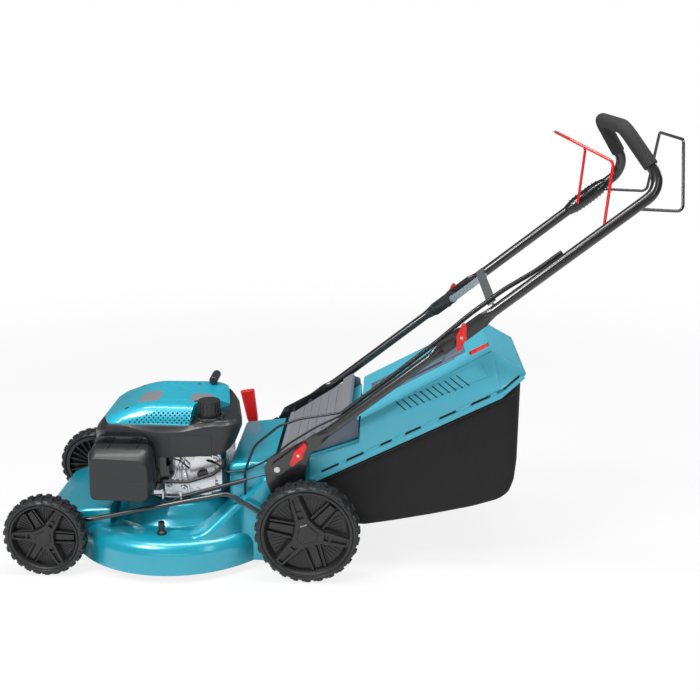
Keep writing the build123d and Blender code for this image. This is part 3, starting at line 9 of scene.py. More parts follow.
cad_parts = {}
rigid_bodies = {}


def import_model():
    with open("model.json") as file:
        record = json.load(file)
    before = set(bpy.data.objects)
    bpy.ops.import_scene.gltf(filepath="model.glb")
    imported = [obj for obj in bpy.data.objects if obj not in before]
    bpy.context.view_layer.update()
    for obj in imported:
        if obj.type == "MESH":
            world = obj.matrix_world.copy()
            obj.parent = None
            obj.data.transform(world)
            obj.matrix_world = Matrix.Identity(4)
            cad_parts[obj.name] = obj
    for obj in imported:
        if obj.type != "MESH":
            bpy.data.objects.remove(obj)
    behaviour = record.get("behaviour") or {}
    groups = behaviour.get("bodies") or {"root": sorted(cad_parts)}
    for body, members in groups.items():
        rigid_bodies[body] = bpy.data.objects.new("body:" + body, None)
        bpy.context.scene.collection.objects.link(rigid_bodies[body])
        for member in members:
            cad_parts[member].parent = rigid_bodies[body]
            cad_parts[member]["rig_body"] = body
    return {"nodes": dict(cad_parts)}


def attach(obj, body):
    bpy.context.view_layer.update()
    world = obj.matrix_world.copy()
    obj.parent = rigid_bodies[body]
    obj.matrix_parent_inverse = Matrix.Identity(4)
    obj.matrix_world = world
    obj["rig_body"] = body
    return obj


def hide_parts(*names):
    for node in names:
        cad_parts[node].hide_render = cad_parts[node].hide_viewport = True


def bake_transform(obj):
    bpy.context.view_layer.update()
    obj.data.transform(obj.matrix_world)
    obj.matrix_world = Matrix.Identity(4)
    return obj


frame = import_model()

bl_info = {
    "name": "Lawn mower looks",
    "version": (1, 0, 0),
    "blender": (4, 5, 0),
    "location": "3D View > Sidebar > Mower",
    "description": "Materials and fine shapes for a rear-bag lawn mower",
    "category": "Object",
}

# Lengths below are in millimetres in the mower's own frame: x to the rear from the rear wheels,
# y to the mower's right, z up from the ground. SHIFT is where that frame's zero lies in the row frame.
SHIFT = -54.5

# Direction of the handle tubes at rest, and the direction square to it.
HANDLE_LINE = Vector((0.7848, 0, 0.6198))
HANDLE_UP = Vector((-0.6198, 0, 0.7848))

# Front edge, run and directions of the bag lid's sloping top.
LID_START = Vector((124, 0, 388))
LID_RUN = 349.97
LID_SLOPE = Vector((307, 0, 168)).normalized()
LID_UP = Vector((-LID_SLOPE.z, 0, LID_SLOPE.x))

# Half widths of the lid and the cloth bag, and the rise of the edge where they meet, per length.
LID_HALF = 180
BAG_HALF = 172
BAG_RISE = 0.5

# Faces of a box whose eight points are two rings of four.
BOX_FACES = [[0, 1, 2, 3], [4, 5, 6, 7], [0, 1, 5, 4], [1, 2, 6, 5], [2, 3, 7, 6], [3, 0, 4, 7]]


def at(x, y, z):
    """Point of the mower's own frame, in metres in the row frame."""
    return Vector(((x + SHIFT) / 1000, y / 1000, z / 1000))


def colour(name, text, value):
    """Colour setting."""
    return FloatVectorProperty(
        name=name, description=text, default=value, size=3, min=0, max=1, subtype="COLOR"
    )


def length(name, text, value):
    """Length setting in millimetres."""
    return FloatProperty(name=name, description=text, default=value, min=0)


class MowerColours(bpy.types.PropertyGroup):
    """Base colours of the materials."""

    teal: colour("Teal paint", "Deck paint", (0.006, 0.36, 0.49))
    lid: colour("Lid teal", "Bag lid plastic", (0.065, 0.41, 0.54))
    black: colour("Black coat", "Powder coat of the tubes", (0.010, 0.010, 0.011))
    plastic: colour("Black plastic", "Engine plastics", (0.017, 0.018, 0.019))
    wheel: colour("Wheel plastic", "Rims", (0.013, 0.013, 0.014))
    tyre: colour("Tyre", "Tyre rubber", (0.015, 0.016, 0.017))
    red: colour("Red", "Knobs, bail and lever grip", (0.74, 0.008, 0.007))
    grey: colour("Grey plastic", "Rear flap", (0.20, 0.207, 0.225))
    slate: colour("Slate plastic", "Flap skirts and carry handle", (0.11, 0.135, 0.175))
    cloth: colour("Cloth", "Bag fabric", (0.007, 0.007, 0.0075))
    alloy: colour("Alloy", "Die-cast engine block", (0.52, 0.53, 0.55))


class MowerSizes(bpy.types.PropertyGroup):
    """Sizes of the fine shapes, in millimetres."""

    edge: length("Edge radius", "Rounding of plain CAD edges", 0.8)
    lug_height: length("Lug height", "Height of the tyre lugs", 4.0)
    lug_count: IntProperty(name="Lug count", description="Lugs round one tyre row", default=26, min=3)
    rim_ribs: IntProperty(name="Rim ribs", description="Fine ribs round a rim", default=60, min=3)
    sag: length("Bag sag", "Depth of the bag's soft folds", 4.0)
    vent_count: IntProperty(name="Vents", description="Slots in one side of the bag lid", default=11, min=1)


class Value:
    """Shader socket with arithmetic."""

    def __init__(self, nodes, socket):
        self.nodes = nodes
        self.socket = socket

    def calc(self, operation, *others):
        """Value of a maths node on this value and others."""
        return self.nodes.node("ShaderNodeMath", [self, *others], operation=operation)

    def __add__(self, other):
        return self.calc("ADD", other)

    def __sub__(self, other):
        return self.calc("SUBTRACT", other)

    def __mul__(self, other):
        return self.calc("MULTIPLY", other)

    def __truediv__(self, other):
        return self.calc("DIVIDE", other)

    def __rsub__(self, other):
        return self.calc("MULTIPLY", -1) + other

    def __rtruediv__(self, other):
        return self.calc("POWER", -1) * other

    __radd__ = __add__
    __rmul__ = __mul__

    def over(self, low, high):
        """0 below one limit, 1 above the other, smooth between."""
        share = (self - low) / (high - low)
        clamped = share.calc("MINIMUM", 1).calc("MAXIMUM", 0)
        return clamped * clamped * (3 - 2 * clamped)

    def within(self, low, high, edge):
        """1 between two limits and 0 outside, with soft edges."""
        return self.over(low - edge, low + edge) * (1 - self.over(high - edge, high + edge))

    def wave(self, pitch):
        """0 to 1 and back over each pitch."""
        return (self * (2 * pi / pitch)).calc("SINE") * 0.5 + 0.5


class Nodes:
    """Node tree of a material or world."""

    def __init__(self, tree):
        self.tree = tree

    def node(self, kind, inputs=(), output=0, **settings):
        """New node with its settings and inputs, as a value."""
        made = self.tree.nodes.new(kind)
        for key, value in settings.items():
            setattr(made, key, value)
        pairs = inputs.items() if isinstance(inputs, dict) else enumerate(inputs)
        for key, value in pairs:
            self.feed(made.inputs[key], value)
        return Value(self, made.outputs[output])

    def feed(self, socket, value):
        """Links or sets one input."""
        if isinstance(value, Value):
            self.tree.links.new(value.socket, socket)
        elif socket.type == "RGBA":
            socket.default_value = (*value, 1)
        else:
            socket.default_value = value

    def blend(self, share, first, second):
        """Colour between two colours."""
        return self.node("ShaderNodeMix", {0: share, 6: first, 7: second}, output=2, data_type="RGBA")


class Paint(Nodes):
    """Procedural material on one principled shader."""

    def __init__(self, name, base, rough, metal=0.0, coat=0.0):
        self.material = bpy.data.materials.new("look_" + name)
        self.material.use_nodes = True
        self.material.diffuse_color = (*base, 1)
        super().__init__(self.material.node_tree)
        self.shader = self.tree.nodes["Principled BSDF"]
        self.set("Base Color", base)
        self.set("Roughness", rough)
        self.set("Metallic", metal)
        self.set("Coat Weight", coat)

    def set(self, name, value):
        """Input of the principled shader."""
        self.feed(self.shader.inputs[name], value)

    def place(self):
        """x, y and z in millimetres of the row frame at rest."""
        spot = self.node("ShaderNodeTexCoord", output="Object")
        parts = [self.node("ShaderNodeSeparateXYZ", [spot], output=axis) for axis in "XYZ"]
        return [part * 1000 for part in parts]

    def grain(self, scale, detail):
        """Noise over the object, 0 to 1."""
        spot = self.node("ShaderNodeTexCoord", output="Object")
        inputs = {"Vector": spot, "Scale": scale, "Detail": detail}
        return self.node("ShaderNodeTexNoise", inputs, output="Fac")

    def cells(self, scale):
        """Cell pattern over the object."""
        spot = self.node("ShaderNodeTexCoord", output="Object")
        return self.node("ShaderNodeTexVoronoi", {"Vector": spot, "Scale": scale}, output="Distance")

    def bump(self, height, depth, strength):
        """Surface relief from a height, in millimetres."""
        inputs = {"Strength": strength, "Distance": depth / 1000, "Height": height}
        self.set("Normal", self.node("ShaderNodeBump", inputs, output="Normal"))

    def tint(self, share, base, low, high):
        """Base colour between two shares of one colour."""
        self.set("Base Color", self.blend(share, scaled(base, low), scaled(base, high)))


def scaled(base, share):
    """Colour times a share."""
    return tuple(min(1.0, part * share) for part in base)


def worn_paint(name, base, rough, coat, metal, spread, relief, scale):
    """Paint or plastic with slight changes of tone and roughness."""
    paint = Paint(name, base, rough, metal, coat)
    tone = paint.grain(9, 4)
    fine = paint.grain(scale * 12, 2)
    paint.tint(tone * 0.7 + fine * 0.3, base, 1 - spread, 1 + spread)
    paint.set("Roughness", rough - 0.05 + fine * 0.06 + tone * 0.06)
    if relief:
        paint.bump(fine, relief, 0.6)
    return paint


def make_paints(colours):
    """Makes all the materials."""
    deck = Paint("deck_paint", tuple(colours.teal), 0.32, 0.25, 1.0)
    flake = deck.cells(2600)
    tone = deck.grain(6, 3)
    deck.tint(tone * 0.5 + flake * 0.35, colours.teal, 0.86, 1.22)
    deck.set("Roughness", 0.27 + flake * 0.08 + tone * 0.06)
    deck.set("Coat Roughness", 0.16)
    deck.bump(deck.grain(240, 2), 0.05, 0.3)

    cover = Paint("cover_teal", tuple(colours.teal), 0.34, 0.1, 0.7)
    x, y, z = cover.place()
    lean = z * 1.1
    grille = (
        (x - SHIFT - (z - 364) * 2.7).over(-449, -446)
        * (1 - (x - SHIFT).over(-276, -274))
        * z.within(363.5, 391, 0.6)
        * (1 - y.over(-128, -126))
    )
    pitch = 11.5
    shaded_holes = ((x + lean).wave(pitch) * (x - lean).wave(pitch)).over(0.36, 0.42) * grille
    base = cover.blend(cover.grain(8, 3), scaled(colours.teal, 0.92), scaled(colours.teal, 1.22))
    # The grille's holes get a near-black teal: painted shade where the inside of each hole lies in shadow.
    cover.set("Base Color", cover.blend(shaded_holes, base, (0.006, 0.012, 0.014)))
    cover.set("Roughness", 0.32 + shaded_holes * 0.4 + cover.grain(500, 1) * 0.06)
    cover.set("Coat Weight", 0.7 - shaded_holes * 0.7)
    cover.bump(cover.grain(700, 1) * 0.02 - shaded_holes, 1.6, 0.8)

    made = {}
    for name, base, rough, coat, metal, spread, relief, scale in (
        ("lid_plastic", colours.lid, 0.4, 0.15, 0.0, 0.06, 0.05, 80),
        ("black_coat", colours.black, 0.3, 0.8, 0.0, 0.15, 0.0, 20),
        ("black_plastic", colours.plastic, 0.42, 0.1, 0.0, 0.12, 0.10, 90),
        ("gloss_black", scaled(colours.plastic, 0.6), 0.2, 0.5, 0.0, 0.2, 0.02, 60),
        ("wheel_plastic", colours.wheel, 0.42, 0.1, 0.0, 0.15, 0.08, 90),
        ("flap_grey", colours.grey, 0.45, 0.05, 0.0, 0.08, 0.08, 90),
        ("satin_silver", (0.30, 0.30, 0.33), 0.38, 0.3, 0.4, 0.06, 0.03, 80),
        ("cover_plain", scaled(colours.teal, 1.05), 0.36, 0.5, 0.1, 0.08, 0.04, 80),
        ("slate_plastic", colours.slate, 0.45, 0.05, 0.0, 0.08, 0.08, 90),
        ("red_plastic", colours.red, 0.3, 0.4, 0.0, 0.1, 0.05, 60),
        ("red_coat", colours.red, 0.32, 0.4, 0.0, 0.06, 0.0, 10),
        ("matt_black", scaled(colours.plastic, 1.6), 0.55, 0.0, 0.0, 0.05, 0.03, 90),
        # Near-black, used as painted shade in the lid's vent and clip slots.
        ("dark_gap", (0.004, 0.004, 0.005), 0.8, 0.0, 0.0, 0.2, 0.0, 60),
        ("cable_sheath", (0.011, 0.011, 0.012), 0.36, 0.2, 0.0, 0.2, 0.03, 60),
    ):
        made[name] = worn_paint(name, tuple(base), rough, coat, metal, spread, relief, scale)
    made["black_coat"].set("Coat Roughness", 0.1)
    flap = made["flap_grey"]
    skirt = flap.place()[1].calc("ABSOLUTE").over(149.2, 149.9)
    grey = flap.blend(flap.grain(40, 3), scaled(colours.grey, 0.9), scaled(colours.grey, 1.1))
    slate = flap.blend(flap.grain(40, 3), scaled(colours.slate, 0.9), scaled(colours.slate, 1.1))
    flap.set("Base Color", flap.blend(skirt, grey, slate))

    tyre = Paint("tyre_rubber", tuple(colours.tyre), 0.5, 0.0, 0.1)
    dust = tyre.grain(26, 5) * tyre.grain(340, 3)
    tyre.tint(dust, colours.tyre, 0.75, 2.4)
    tyre.set("Roughness", 0.40 + dust * 0.35)
    tyre.bump(tyre.grain(900, 3), 0.25, 0.6)

    alloy = Paint("alloy", tuple(colours.alloy), 0.3, 1.0)
    cast = alloy.cells(420)
    soot = alloy.grain(30, 4).over(0.5, 0.85)
    alloy.tint(soot, colours.alloy, 1.2, 0.7)
    alloy.set("Roughness", 0.18 + soot * 0.15 + cast * 0.1)
    alloy.bump(cast * 0.3 + alloy.grain(60, 3), 0.5, 0.35)

    steel = Paint("zinc_steel", (0.62, 0.63, 0.64), 0.3, 1.0)
    spangle = steel.cells(260)
    steel.set("Base Color", steel.blend(spangle, (0.52, 0.53, 0.54), (0.72, 0.73, 0.73)))
    steel.set("Roughness", 0.24 + spangle * 0.16)
    steel.bump(steel.grain(500, 2), 0.1, 0.4)

    iron = Paint("dark_iron", (0.16, 0.16, 0.17), 0.45, 0.9)
    rust = iron.grain(40, 5)
    iron.set("Base Color", iron.blend(rust, (0.10, 0.10, 0.105), (0.22, 0.22, 0.225)))
    iron.set("Roughness", 0.35 + rust * 0.3)
    iron.bump(iron.grain(300, 3), 0.3, 0.5)

    foam = Paint("foam", (0.022, 0.022, 0.023), 0.85)
    pores = foam.cells(900)
    foam.set("Base Color", foam.blend(pores, (0.012, 0.012, 0.013), (0.034, 0.034, 0.036)))
    foam.set("Roughness", 0.75 + pores * 0.2)
    foam.bump(pores + foam.grain(90, 2) * 0.6, 0.5, 0.6)

    cable = Paint("ribbed_conduit", (0.012, 0.012, 0.013), 0.38, 0.0, 0.2)
    x, y, z = cable.place()
    ring = (x * HANDLE_LINE.x + z * HANDLE_LINE.z).wave(3.4)
    # The colour follows the rib wave, darker in the grooves and lighter on the crests: painted shade and
    # highlight over the relief that the bump gives.
    cable.set("Base Color", cable.blend(ring, (0.006, 0.006, 0.006), (0.020, 0.020, 0.021)))
    cable.set("Roughness", 0.34 + cable.grain(200, 2) * 0.14)
    cable.bump(ring, 1.1, 0.9)

    cloth = Paint("bag_cloth", tuple(colours.cloth), 0.85)
    x, y, z = cloth.place()
    side = y.calc("ABSOLUTE")
    flank = side.over(160, 166)
    rib = x.wave(3.0) * flank + y.wave(3.0) * (1 - flank)
    weft = z.wave(1.6)
    hem = (z - (x - SHIFT) * BAG_RISE - 212).calc("ABSOLUTE")
    seam = (1 - hem.over(0.5, 1.1)) * side.over(165, 168)
    stitch = seam * x.wave(5.2).over(0.3, 0.4)
    wear = cloth.grain(12, 4)
    # The rib term darkens the grooves between the ribs and lightens their crests, painted shade and
    # highlight; the wear term is random tone.
    rib_shade_and_wear = cloth.blend(rib * 0.6 + wear * 0.5, scaled(colours.cloth, 0.6), scaled(colours.cloth, 1.6))
    cloth.set("Base Color", cloth.blend(stitch, rib_shade_and_wear, (0.10, 0.10, 0.10)))
    cloth.set("Roughness", 0.74 + rib * 0.1 + wear * 0.1)
    cloth.bump(rib * 0.6 + weft * 0.25 + stitch * 1.4, 0.6, 0.7)


class Form:
    """Mesh under construction, with points in millimetres of the mower's own frame."""

    def __init__(self):
        self.points = []
        self.faces = []

    def add(self, points, faces):
        """Points and faces that use them."""
        start = len(self.points)
        self.points += [Vector(point) for point in points]
        self.faces += [[start + index for index in face] for face in faces]

    def prism(self, outline, low, high, place):
        """Outline of u, v points between two depths, set down by a place function of u, v and depth."""
        self.tapered(outline, low, outline, high, place)

    def tapered(self, low_outline, low, high_outline, high, place):
        """Solid between two outlines with the same number of points."""
        count = len(low_outline)
        points = [place(u, v, low) for u, v in low_outline] + [place(u, v, high) for u, v in high_outline]
        faces = [list(range(count))[::-1], list(range(count, 2 * count))]
        for number in range(count):
            after = (number + 1) % count
            faces.append([number, after, count + after, count + number])
        self.add(points, faces)

    def lathe(self, profile, count, place):
        """Closed profile of radius and depth points, turned about the depth line."""
        points, faces = [], []
        rows = len(profile)
        for step in range(count):
            angle = 2 * pi * step / count
            points += [place(r * cos(angle), r * sin(angle), d) for r, d in profile]
        for step in range(count):
            after = (step + 1) % count
            for row in range(rows):
                down = (row + 1) % rows
                faces.append([step * rows + row, after * rows + row, after * rows + down, step * rows + down])
        self.add(points, faces)

    def tube(self, path, radius, sides=16):
        """Round bar along a list of points."""
        points = [Vector(point) for point in path]
        rings, faces = [], []
        for number, point in enumerate(points):
            ahead = points[min(number + 1, len(points) - 1)] - points[max(number - 1, 0)]
            turn = ahead.to_track_quat("Z", "Y")
            for side in range(sides):
                angle = 2 * pi * side / sides
                rings.append(point + turn @ Vector((radius * cos(angle), radius * sin(angle), 0)))
        for number in range(len(points) - 1):
            for side in range(sides):
                after = (side + 1) % sides
                base, top = number * sides, (number + 1) * sides
                faces.append([base + side, base + after, top + after, top + side])
        last = (len(points) - 1) * sides
        faces.append(list(range(sides))[::-1])
        faces.append(list(range(last, last + sides)))
        self.add(rings, faces)

    def grid(self, rows):
        """Surface through rows of points."""
        wide = len(rows[0])
        faces = []
        for row in range(len(rows) - 1):
            for column in range(wide - 1):
                a = row * wide + column
                faces.append([a, a + 1, a + wide + 1, a + wide])
        self.add([point for row in rows for point in row], faces)

    def build(self, name, paint, bevel=0.0, angle=35.0, segments=2):
        """Finished object."""
        work = bmesh.new()
        made = [work.verts.new(at(*point)) for point in self.points]
        for face in self.faces:
            work.faces.new([made[index] for index in face])
        bmesh.ops.remove_doubles(work, verts=work.verts, dist=1e-6)
        bmesh.ops.recalc_face_normals(work, faces=work.faces)
        return finished(work, name, paint, bevel, angle, segments)


def finished(work, name, paint, bevel, angle, segments):
    """Object from an edit mesh, with rounded edges and smooth shading."""
    if bevel:
        sharp = [
            edge for edge in work.edges
            if len(edge.link_faces) == 2 and edge.calc_face_angle(0) > radians(angle)
        ]
        bmesh.ops.bevel(
            work, geom=sharp, offset=bevel / 1000, segments=segments, profile=0.5,
            affect="EDGES", clamp_overlap=True,
        )
    mesh = bpy.data.meshes.new(name)
    work.to_mesh(mesh)
    work.free()
    if "custom_normal" in mesh.attributes:
        mesh.attributes.remove(mesh.attributes["custom_normal"])
    mesh.materials.clear()
    mesh.materials.append(bpy.data.materials["look_" + paint])
    mesh.shade_smooth()
    mesh.set_sharp_from_angle(angle=radians(angle))
    made = bpy.data.objects.new(name, mesh)
    bpy.context.scene.collection.objects.link(made)
    if bevel:
        even = made.modifiers.new("Even normals", "WEIGHTED_NORMAL")
        even.keep_sharp = True
    return made


def dress(node, paint, bevel=0.0, angle=30.0, segments=2, shape=None):
    """Look for one CAD node: its own mesh, welded, with rounded edges."""
    source = frame["nodes"][node]
    work = bmesh.new()
    work.from_mesh(source.data)
    bmesh.ops.remove_doubles(work, verts=work.verts, dist=2e-6)
    bmesh.ops.dissolve_limit(
        work, angle_limit=radians(0.4), verts=work.verts, edges=work.edges, use_dissolve_boundaries=False
    )
    if shape:
        shape(work)
    made = finished(work, node + "_look", paint, bevel, angle, segments)
    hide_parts(node)
    return made


def ride_node(made, node):
    """Lets a piece move with a CAD node's body."""
    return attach(made, frame["nodes"][node]["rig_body"])


def look(node, paint, bevel=0.0, angle=30.0, segments=2, shape=None):
    """Dressed CAD node on its body, with one of this script's materials."""
    made = dress(node, paint, bevel, angle, segments, shape)
    return ride_node(made, node)


def flat_side(y):
    """Place function for outlines in the x, z plane, with depth to the near side of a y value."""
    return lambda u, v, depth: (u, y - depth, v)


def drape(form, outline, height, lift, rings=4):
    """Patch with a plan outline laid on a height function."""
    middle = Vector((sum(x for x, y in outline), sum(y for x, y in outline))) / len(outline)
    sink = 0.3
    rows = []
    for ring in range(rings + 1):
        row = []
        for x, y in outline + outline[:1]:
            spot = middle.lerp(Vector((x, y)), ring / rings)
            row.append((spot.x, spot.y, height(spot.x, spot.y) + (lift if ring < rings else -sink)))
        rows.append(row)
    form.grid(rows)


def circle(x, z, radius, count=24):
    """Round outline."""
    angles = [2 * pi * number / count for number in range(count)]
    return [(x + radius * cos(angle), z + radius * sin(angle)) for angle in angles]


def oblong(x, z, wide, high, corner, count=5):
    """Rounded rectangle outline."""
    points = []
    for quarter, (sx, sz) in enumerate(((1, 1), (-1, 1), (-1, -1), (1, -1))):
        for step in range(count):
            angle = pi / 2 * (quarter + step / (count - 1))
            points.append((
                x + sx * (wide / 2 - corner) + corner * cos(angle),
                z + sz * (high / 2 - corner) + corner * sin(angle),
            ))
    return points


def rounded(corners, count=6):
    """Closed outline from u, v, radius corners, with every corner rounded by that radius."""
    points = []
    for number, (u, v, radius) in enumerate(corners):
        here = Vector((u, v))
        before = (Vector(corners[number - 1][:2]) - here).normalized()
        after = (Vector(corners[(number + 1) % len(corners)][:2]) - here).normalized()
        half = before.angle(after) / 2
        reach = radius / tan(half)
        centre = here + (before + after).normalized() * radius / sin(half)
        start, end = here + before * reach - centre, here + after * reach - centre
        for step in range(count):
            share = step / (count - 1)
            points.append(tuple(centre + start.slerp(end, share) * radius) if radius else (u, v))
    return points


def between(table, x):
    """Value at x from a table of x, value pairs."""
    for (a, low), (b, high) in zip(table, table[1:]):
        if x <= b:
            return low + (high - low) * max(0, (x - a) / (b - a))
    return table[-1][1]


def fine_outline(outline, reach):
    """Closed outline with its long sides split."""
    points = []
    for (x, y), (u, v) in zip(outline, outline[1:] + outline[:1]):
        count = max(1, int(hypot(u - x, v - y) / reach))
        points += [(x + (u - x) * n / count, y + (v - y) * n / count) for n in range(count)]
    return points


def turned_outline(outline, angle):
    """Outline turned about its zero."""
    c, s = cos(angle), sin(angle)
    return [(u * c - v * s, u * s + v * c) for u, v in outline]


class MOWER_OT_paints(bpy.types.Operator):
    """Make the materials"""

    bl_idname = "mower.paints"
    bl_label = "Materials"

    def execute(self, context):
        make_paints(context.scene.mower_colours)
        return {"FINISHED"}


class MOWER_OT_deck(bpy.types.Operator):
    """Dress the deck and what is fixed to it"""

    bl_idname = "mower.deck"
    bl_label = "Deck"

    def execute(self, context):
        sizes = context.scene.mower_sizes
        look("deck_shell", "deck_paint", sizes.edge, 24, 2)
        look("wash_port", "black_plastic", sizes.edge)
        look("handle_brackets", "black_coat", sizes.edge)
        for node in ("flap_rod", "deck_fasteners"):
            look(node, "zinc_steel", sizes.edge / 2)
        look("height_gate", "black_coat", sizes.edge)
        look("gearbox", "black_plastic", sizes.edge)
        look("drive_belt", "cable_sheath")
        look("gearbox_pulley", "dark_iron", sizes.edge / 2)
        look("drive_shaft", "zinc_steel")
        # Two sheets close the raised front bridge at its rear end, beside the engine.
        ends = Form()
        for sign in (-1, 1):
            place = lambda u, v, depth, side=sign: (-497 + depth, side * u, v)
            ends.prism([(92, 101), (168, 101), (168, 134), (160, 143), (92, 143)], 0, 2, place)
        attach(ends.build("bridge_ends", "deck_paint", 0.4), "deck")
        return {"FINISHED"}


class MOWER_OT_blade(bpy.types.Operator):
    """Dress the blade, crankshaft and flywheel"""

    bl_idname = "mower.blade"
    bl_label = "Blade and crankshaft"

    def execute(self, context):
        for node in ("blade", "blade_adapter", "crankshaft", "flywheel"):
            look(node, "dark_iron" if node != "crankshaft" else "zinc_steel", 0.4)
        return {"FINISHED"}


class MOWER_OT_engine(bpy.types.Operator):
    """Dress the engine"""

    bl_idname = "mower.engine"
    bl_label = "Engine"

    def execute(self, context):
        sizes = context.scene.mower_sizes
        look("engine_block", "alloy", 1.2, 30, 2)
        self.shroud()
        self.cover()
        look("carburettor", "gloss_black", sizes.edge)
        look("muffler", "zinc_steel", sizes.edge)
        look("fuel_hose", "cable_sheath")
        look("fuel_cap", "black_plastic", sizes.edge)
        look("starter_reel", "black_plastic", sizes.edge)
        look("starter_grip", "black_plastic")
        self.filter_box()
        self.block_detail()
        self.cover_detail()
        self.shroud_detail()
        rope = dress("starter_rope", "cable_sheath")
        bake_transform(rope)
        return {"FINISHED"}

    def shroud(self):
        """Shroud skin with a curved lower edge, an upper band that leans in and a rounded tank end."""
        low = (
            (-536, 309), (-505, 304), (-479, 318), (-442, 329), (-424, 331), (-412, 324), (-398, 294),
            (-386, 282), (-372, 277), (-315, 279), (-253, 284), (-224, 288), (-207, 294), (-192, 305),
            (-180, 319), (-170, 345),
        )
        crease = (
            (-536, 330), (-524, 336), (-476, 357), (-440, 356), (-400, 346), (-364, 340), (-307, 345),
            (-256, 358), (-230, 362),
        )
        top = ((-536, 346), (-515, 361.4), (-276, 361.4), (-262, 373), (-256, 374))
        outline = fine_outline(rounded([
            (-536, -110, 30), (-506, -159, 36), (-174, -165, 46), (-170, -104, 40), (-196, 32, 30),
            (-226, 118, 40), (-500, 118, 40), (-536, 70, 30),
        ]), 9)
        middle = Vector((-356, -23))
        reach = 150
        rows = []
        steps = ((5, 0, 12), (4, 0, 1), (1, 0, 0), (0, 0, 2), (0, 0.9, 0), (0, 1, 0))
        for inset, share, rise in steps:
            row = []
            for x, y in outline:
                spot = Vector((x, y)).lerp(middle, inset / reach)
                z = between(low, x)
                row.append((spot.x, spot.y, z + (between(crease, x) - z) * share + rise))
            rows.append(row)
        for inset, share in ((1.2, 0.06), (5, 0.7), (7, 0.92), (10, 1.0), (16, 1.0), (70, 1.0)):
            row = []
            for x, y in outline:
                spot = Vector((x, y)).lerp(middle, inset / reach)
                z = between(crease, x)
                row.append((spot.x, spot.y, z + (between(top, spot.x if inset > 20 else x) - z) * share))
            rows.append(row)
        form = Form()
        form.grid([row + row[:1] for row in rows])
        made = form.build("engine_shroud_look", "black_plastic", 0, 50)
        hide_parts("engine_shroud")
        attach(made, "deck")

    def dome(self, x, y):
        """Height of the top cover over a plan point."""
        rise = lambda t: sin(pi / 2 * min(1, max(0.0, t)))
        front, rear = rise((x + 512) / 130), rise((-200 - x) / 70) ** 0.6
        near, far = rise((y + 156) / 34) ** 0.9, rise((114 - y) / 60) ** 0.7
        rim, crown = 362, 42
        return rim + crown * front * rear * near * far

    def cover(self):
        """Smooth domed top cover with a short upright rim."""
        outline = fine_outline(rounded([
            (-514, -96, 26), (-494, -154, 22), (-292, -157, 10), (-274, -96, 16), (-208, -44, 20),
            (-226, 58, 24), (-262, 110, 20), (-470, 112, 34), (-514, 58, 30),
        ]), 8)
        middle = Vector((-356, -24))
        rows = [[(x, y, 360) for x, y in outline]]
        steps = 22
        for step in range(steps + 1):
            share = 1 - (1 - step / steps) ** 1.6
            row = []
            for x, y in outline:
                spot = Vector((x, y)).lerp(middle, share)
                row.append((spot.x, spot.y, self.dome(spot.x, spot.y)))
            rows.append(row)
        form = Form()
        form.grid([row + row[:1] for row in rows])
        made = form.build("top_cover_look", "cover_teal", 0, 40)
        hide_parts("top_cover")
        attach(made, "deck")

    def block_detail(self):
        """Base ring, ribs, bosses and bolts on the near side of the engine block."""
        ring = Form()
        middle = lambda u, v, depth: (-348 + u, v, 150 + depth)
        ring.lathe([(96, 0.5), (121, 0.5), (124, 4), (124, 9), (119, 14), (96, 14)], 96, middle)
        near = flat_side(-118)
        ring.prism(oblong(-296, 225, 150, 104, 16), -2, 7, near)
        ring.prism(oblong(-268, 226, 62, 92, 12), 6, 15, near)
        for x, lean, wide in ((-352, 34, 5), (-330, 8, 4), (-306, -16, 5), (-244, 0, 4)):
            ring.prism([(x, 174), (x + wide, 174), (x + wide + lean, 276), (x + lean, 276)], -2, 13, near)
        ring.prism([(-366, 200), (-232, 200), (-232, 205), (-366, 205)], -2, 11, near)
        spots = ((-356, 186), (-318, 181), (-282, 184), (-236, 186), (-236, 262), (-292, 266), (-356, 262))
        for x, z in spots:
            ring.prism(circle(x, z, 10), -2, 12, near)
        fins = 18
        for number in range(fins):
            angle = 2 * pi * number / fins
            foot = turned_outline([(110, -4), (134, -3), (134, 3), (110, 4)], angle)
            ring.tapered(foot, 0.5, [(u * 0.93, v) for u, v in foot], 26, middle)
        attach(ring.build("block_casting", "alloy", 1.4, 30, 2), "deck")
        bolts = Form()
        for x, z in spots:
            bolts.prism(circle(x, z, 5.5, 6), 12, 17, near)
        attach(bolts.build("block_bolts", "zinc_steel", 0.5), "deck")
        dark = Form()
        dark.prism(oblong(-352, 246, 26, 58, 6), 8, 20, near)
        dark.tube([(-372, -140, 262), (-352, -140, 270), (-322, -139, 262), (-300, -136, 240)], 2.2, 10)
        dark.prism(circle(-268, 226, 13), 14, 22, near)
        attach(dark.build("block_trim", "gloss_black", 0.8), "deck")

    def cover_detail(self):
        """Plain silver fields, screw heads and ridges on the top cover."""
        badges = Form()
        left = oblong(-404, -62, 58, 92, 16, 6)
        right = [(-302, -104), (-290, -106), (-276, -84), (-246, -56), (-246, -38), (-252, -34), (-302, -34)]
        for outline in (left, right):
            drape(badges, outline, self.dome, 0.6)
        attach(badges.build("cover_badges", "satin_silver", 0, 60), "deck")
        screws = Form()
        for x, y in ((-452, -118), (-284, -100), (-300, 40), (-450, 60)):
            drape(screws, circle(x, y, 7, 18), self.dome, 0.5, 2)
        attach(screws.build("cover_screws", "dark_gap", 0, 60), "deck")
        ridges = Form()
        for y in (-88, -26, 4, 40):
            drape(ridges, oblong(-342, y, 190 if y > -30 else 120, 5, 2.4, 4), self.dome, 0.9, 2)
        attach(ridges.build("cover_ridges", "cover_plain", 0, 60), "deck")

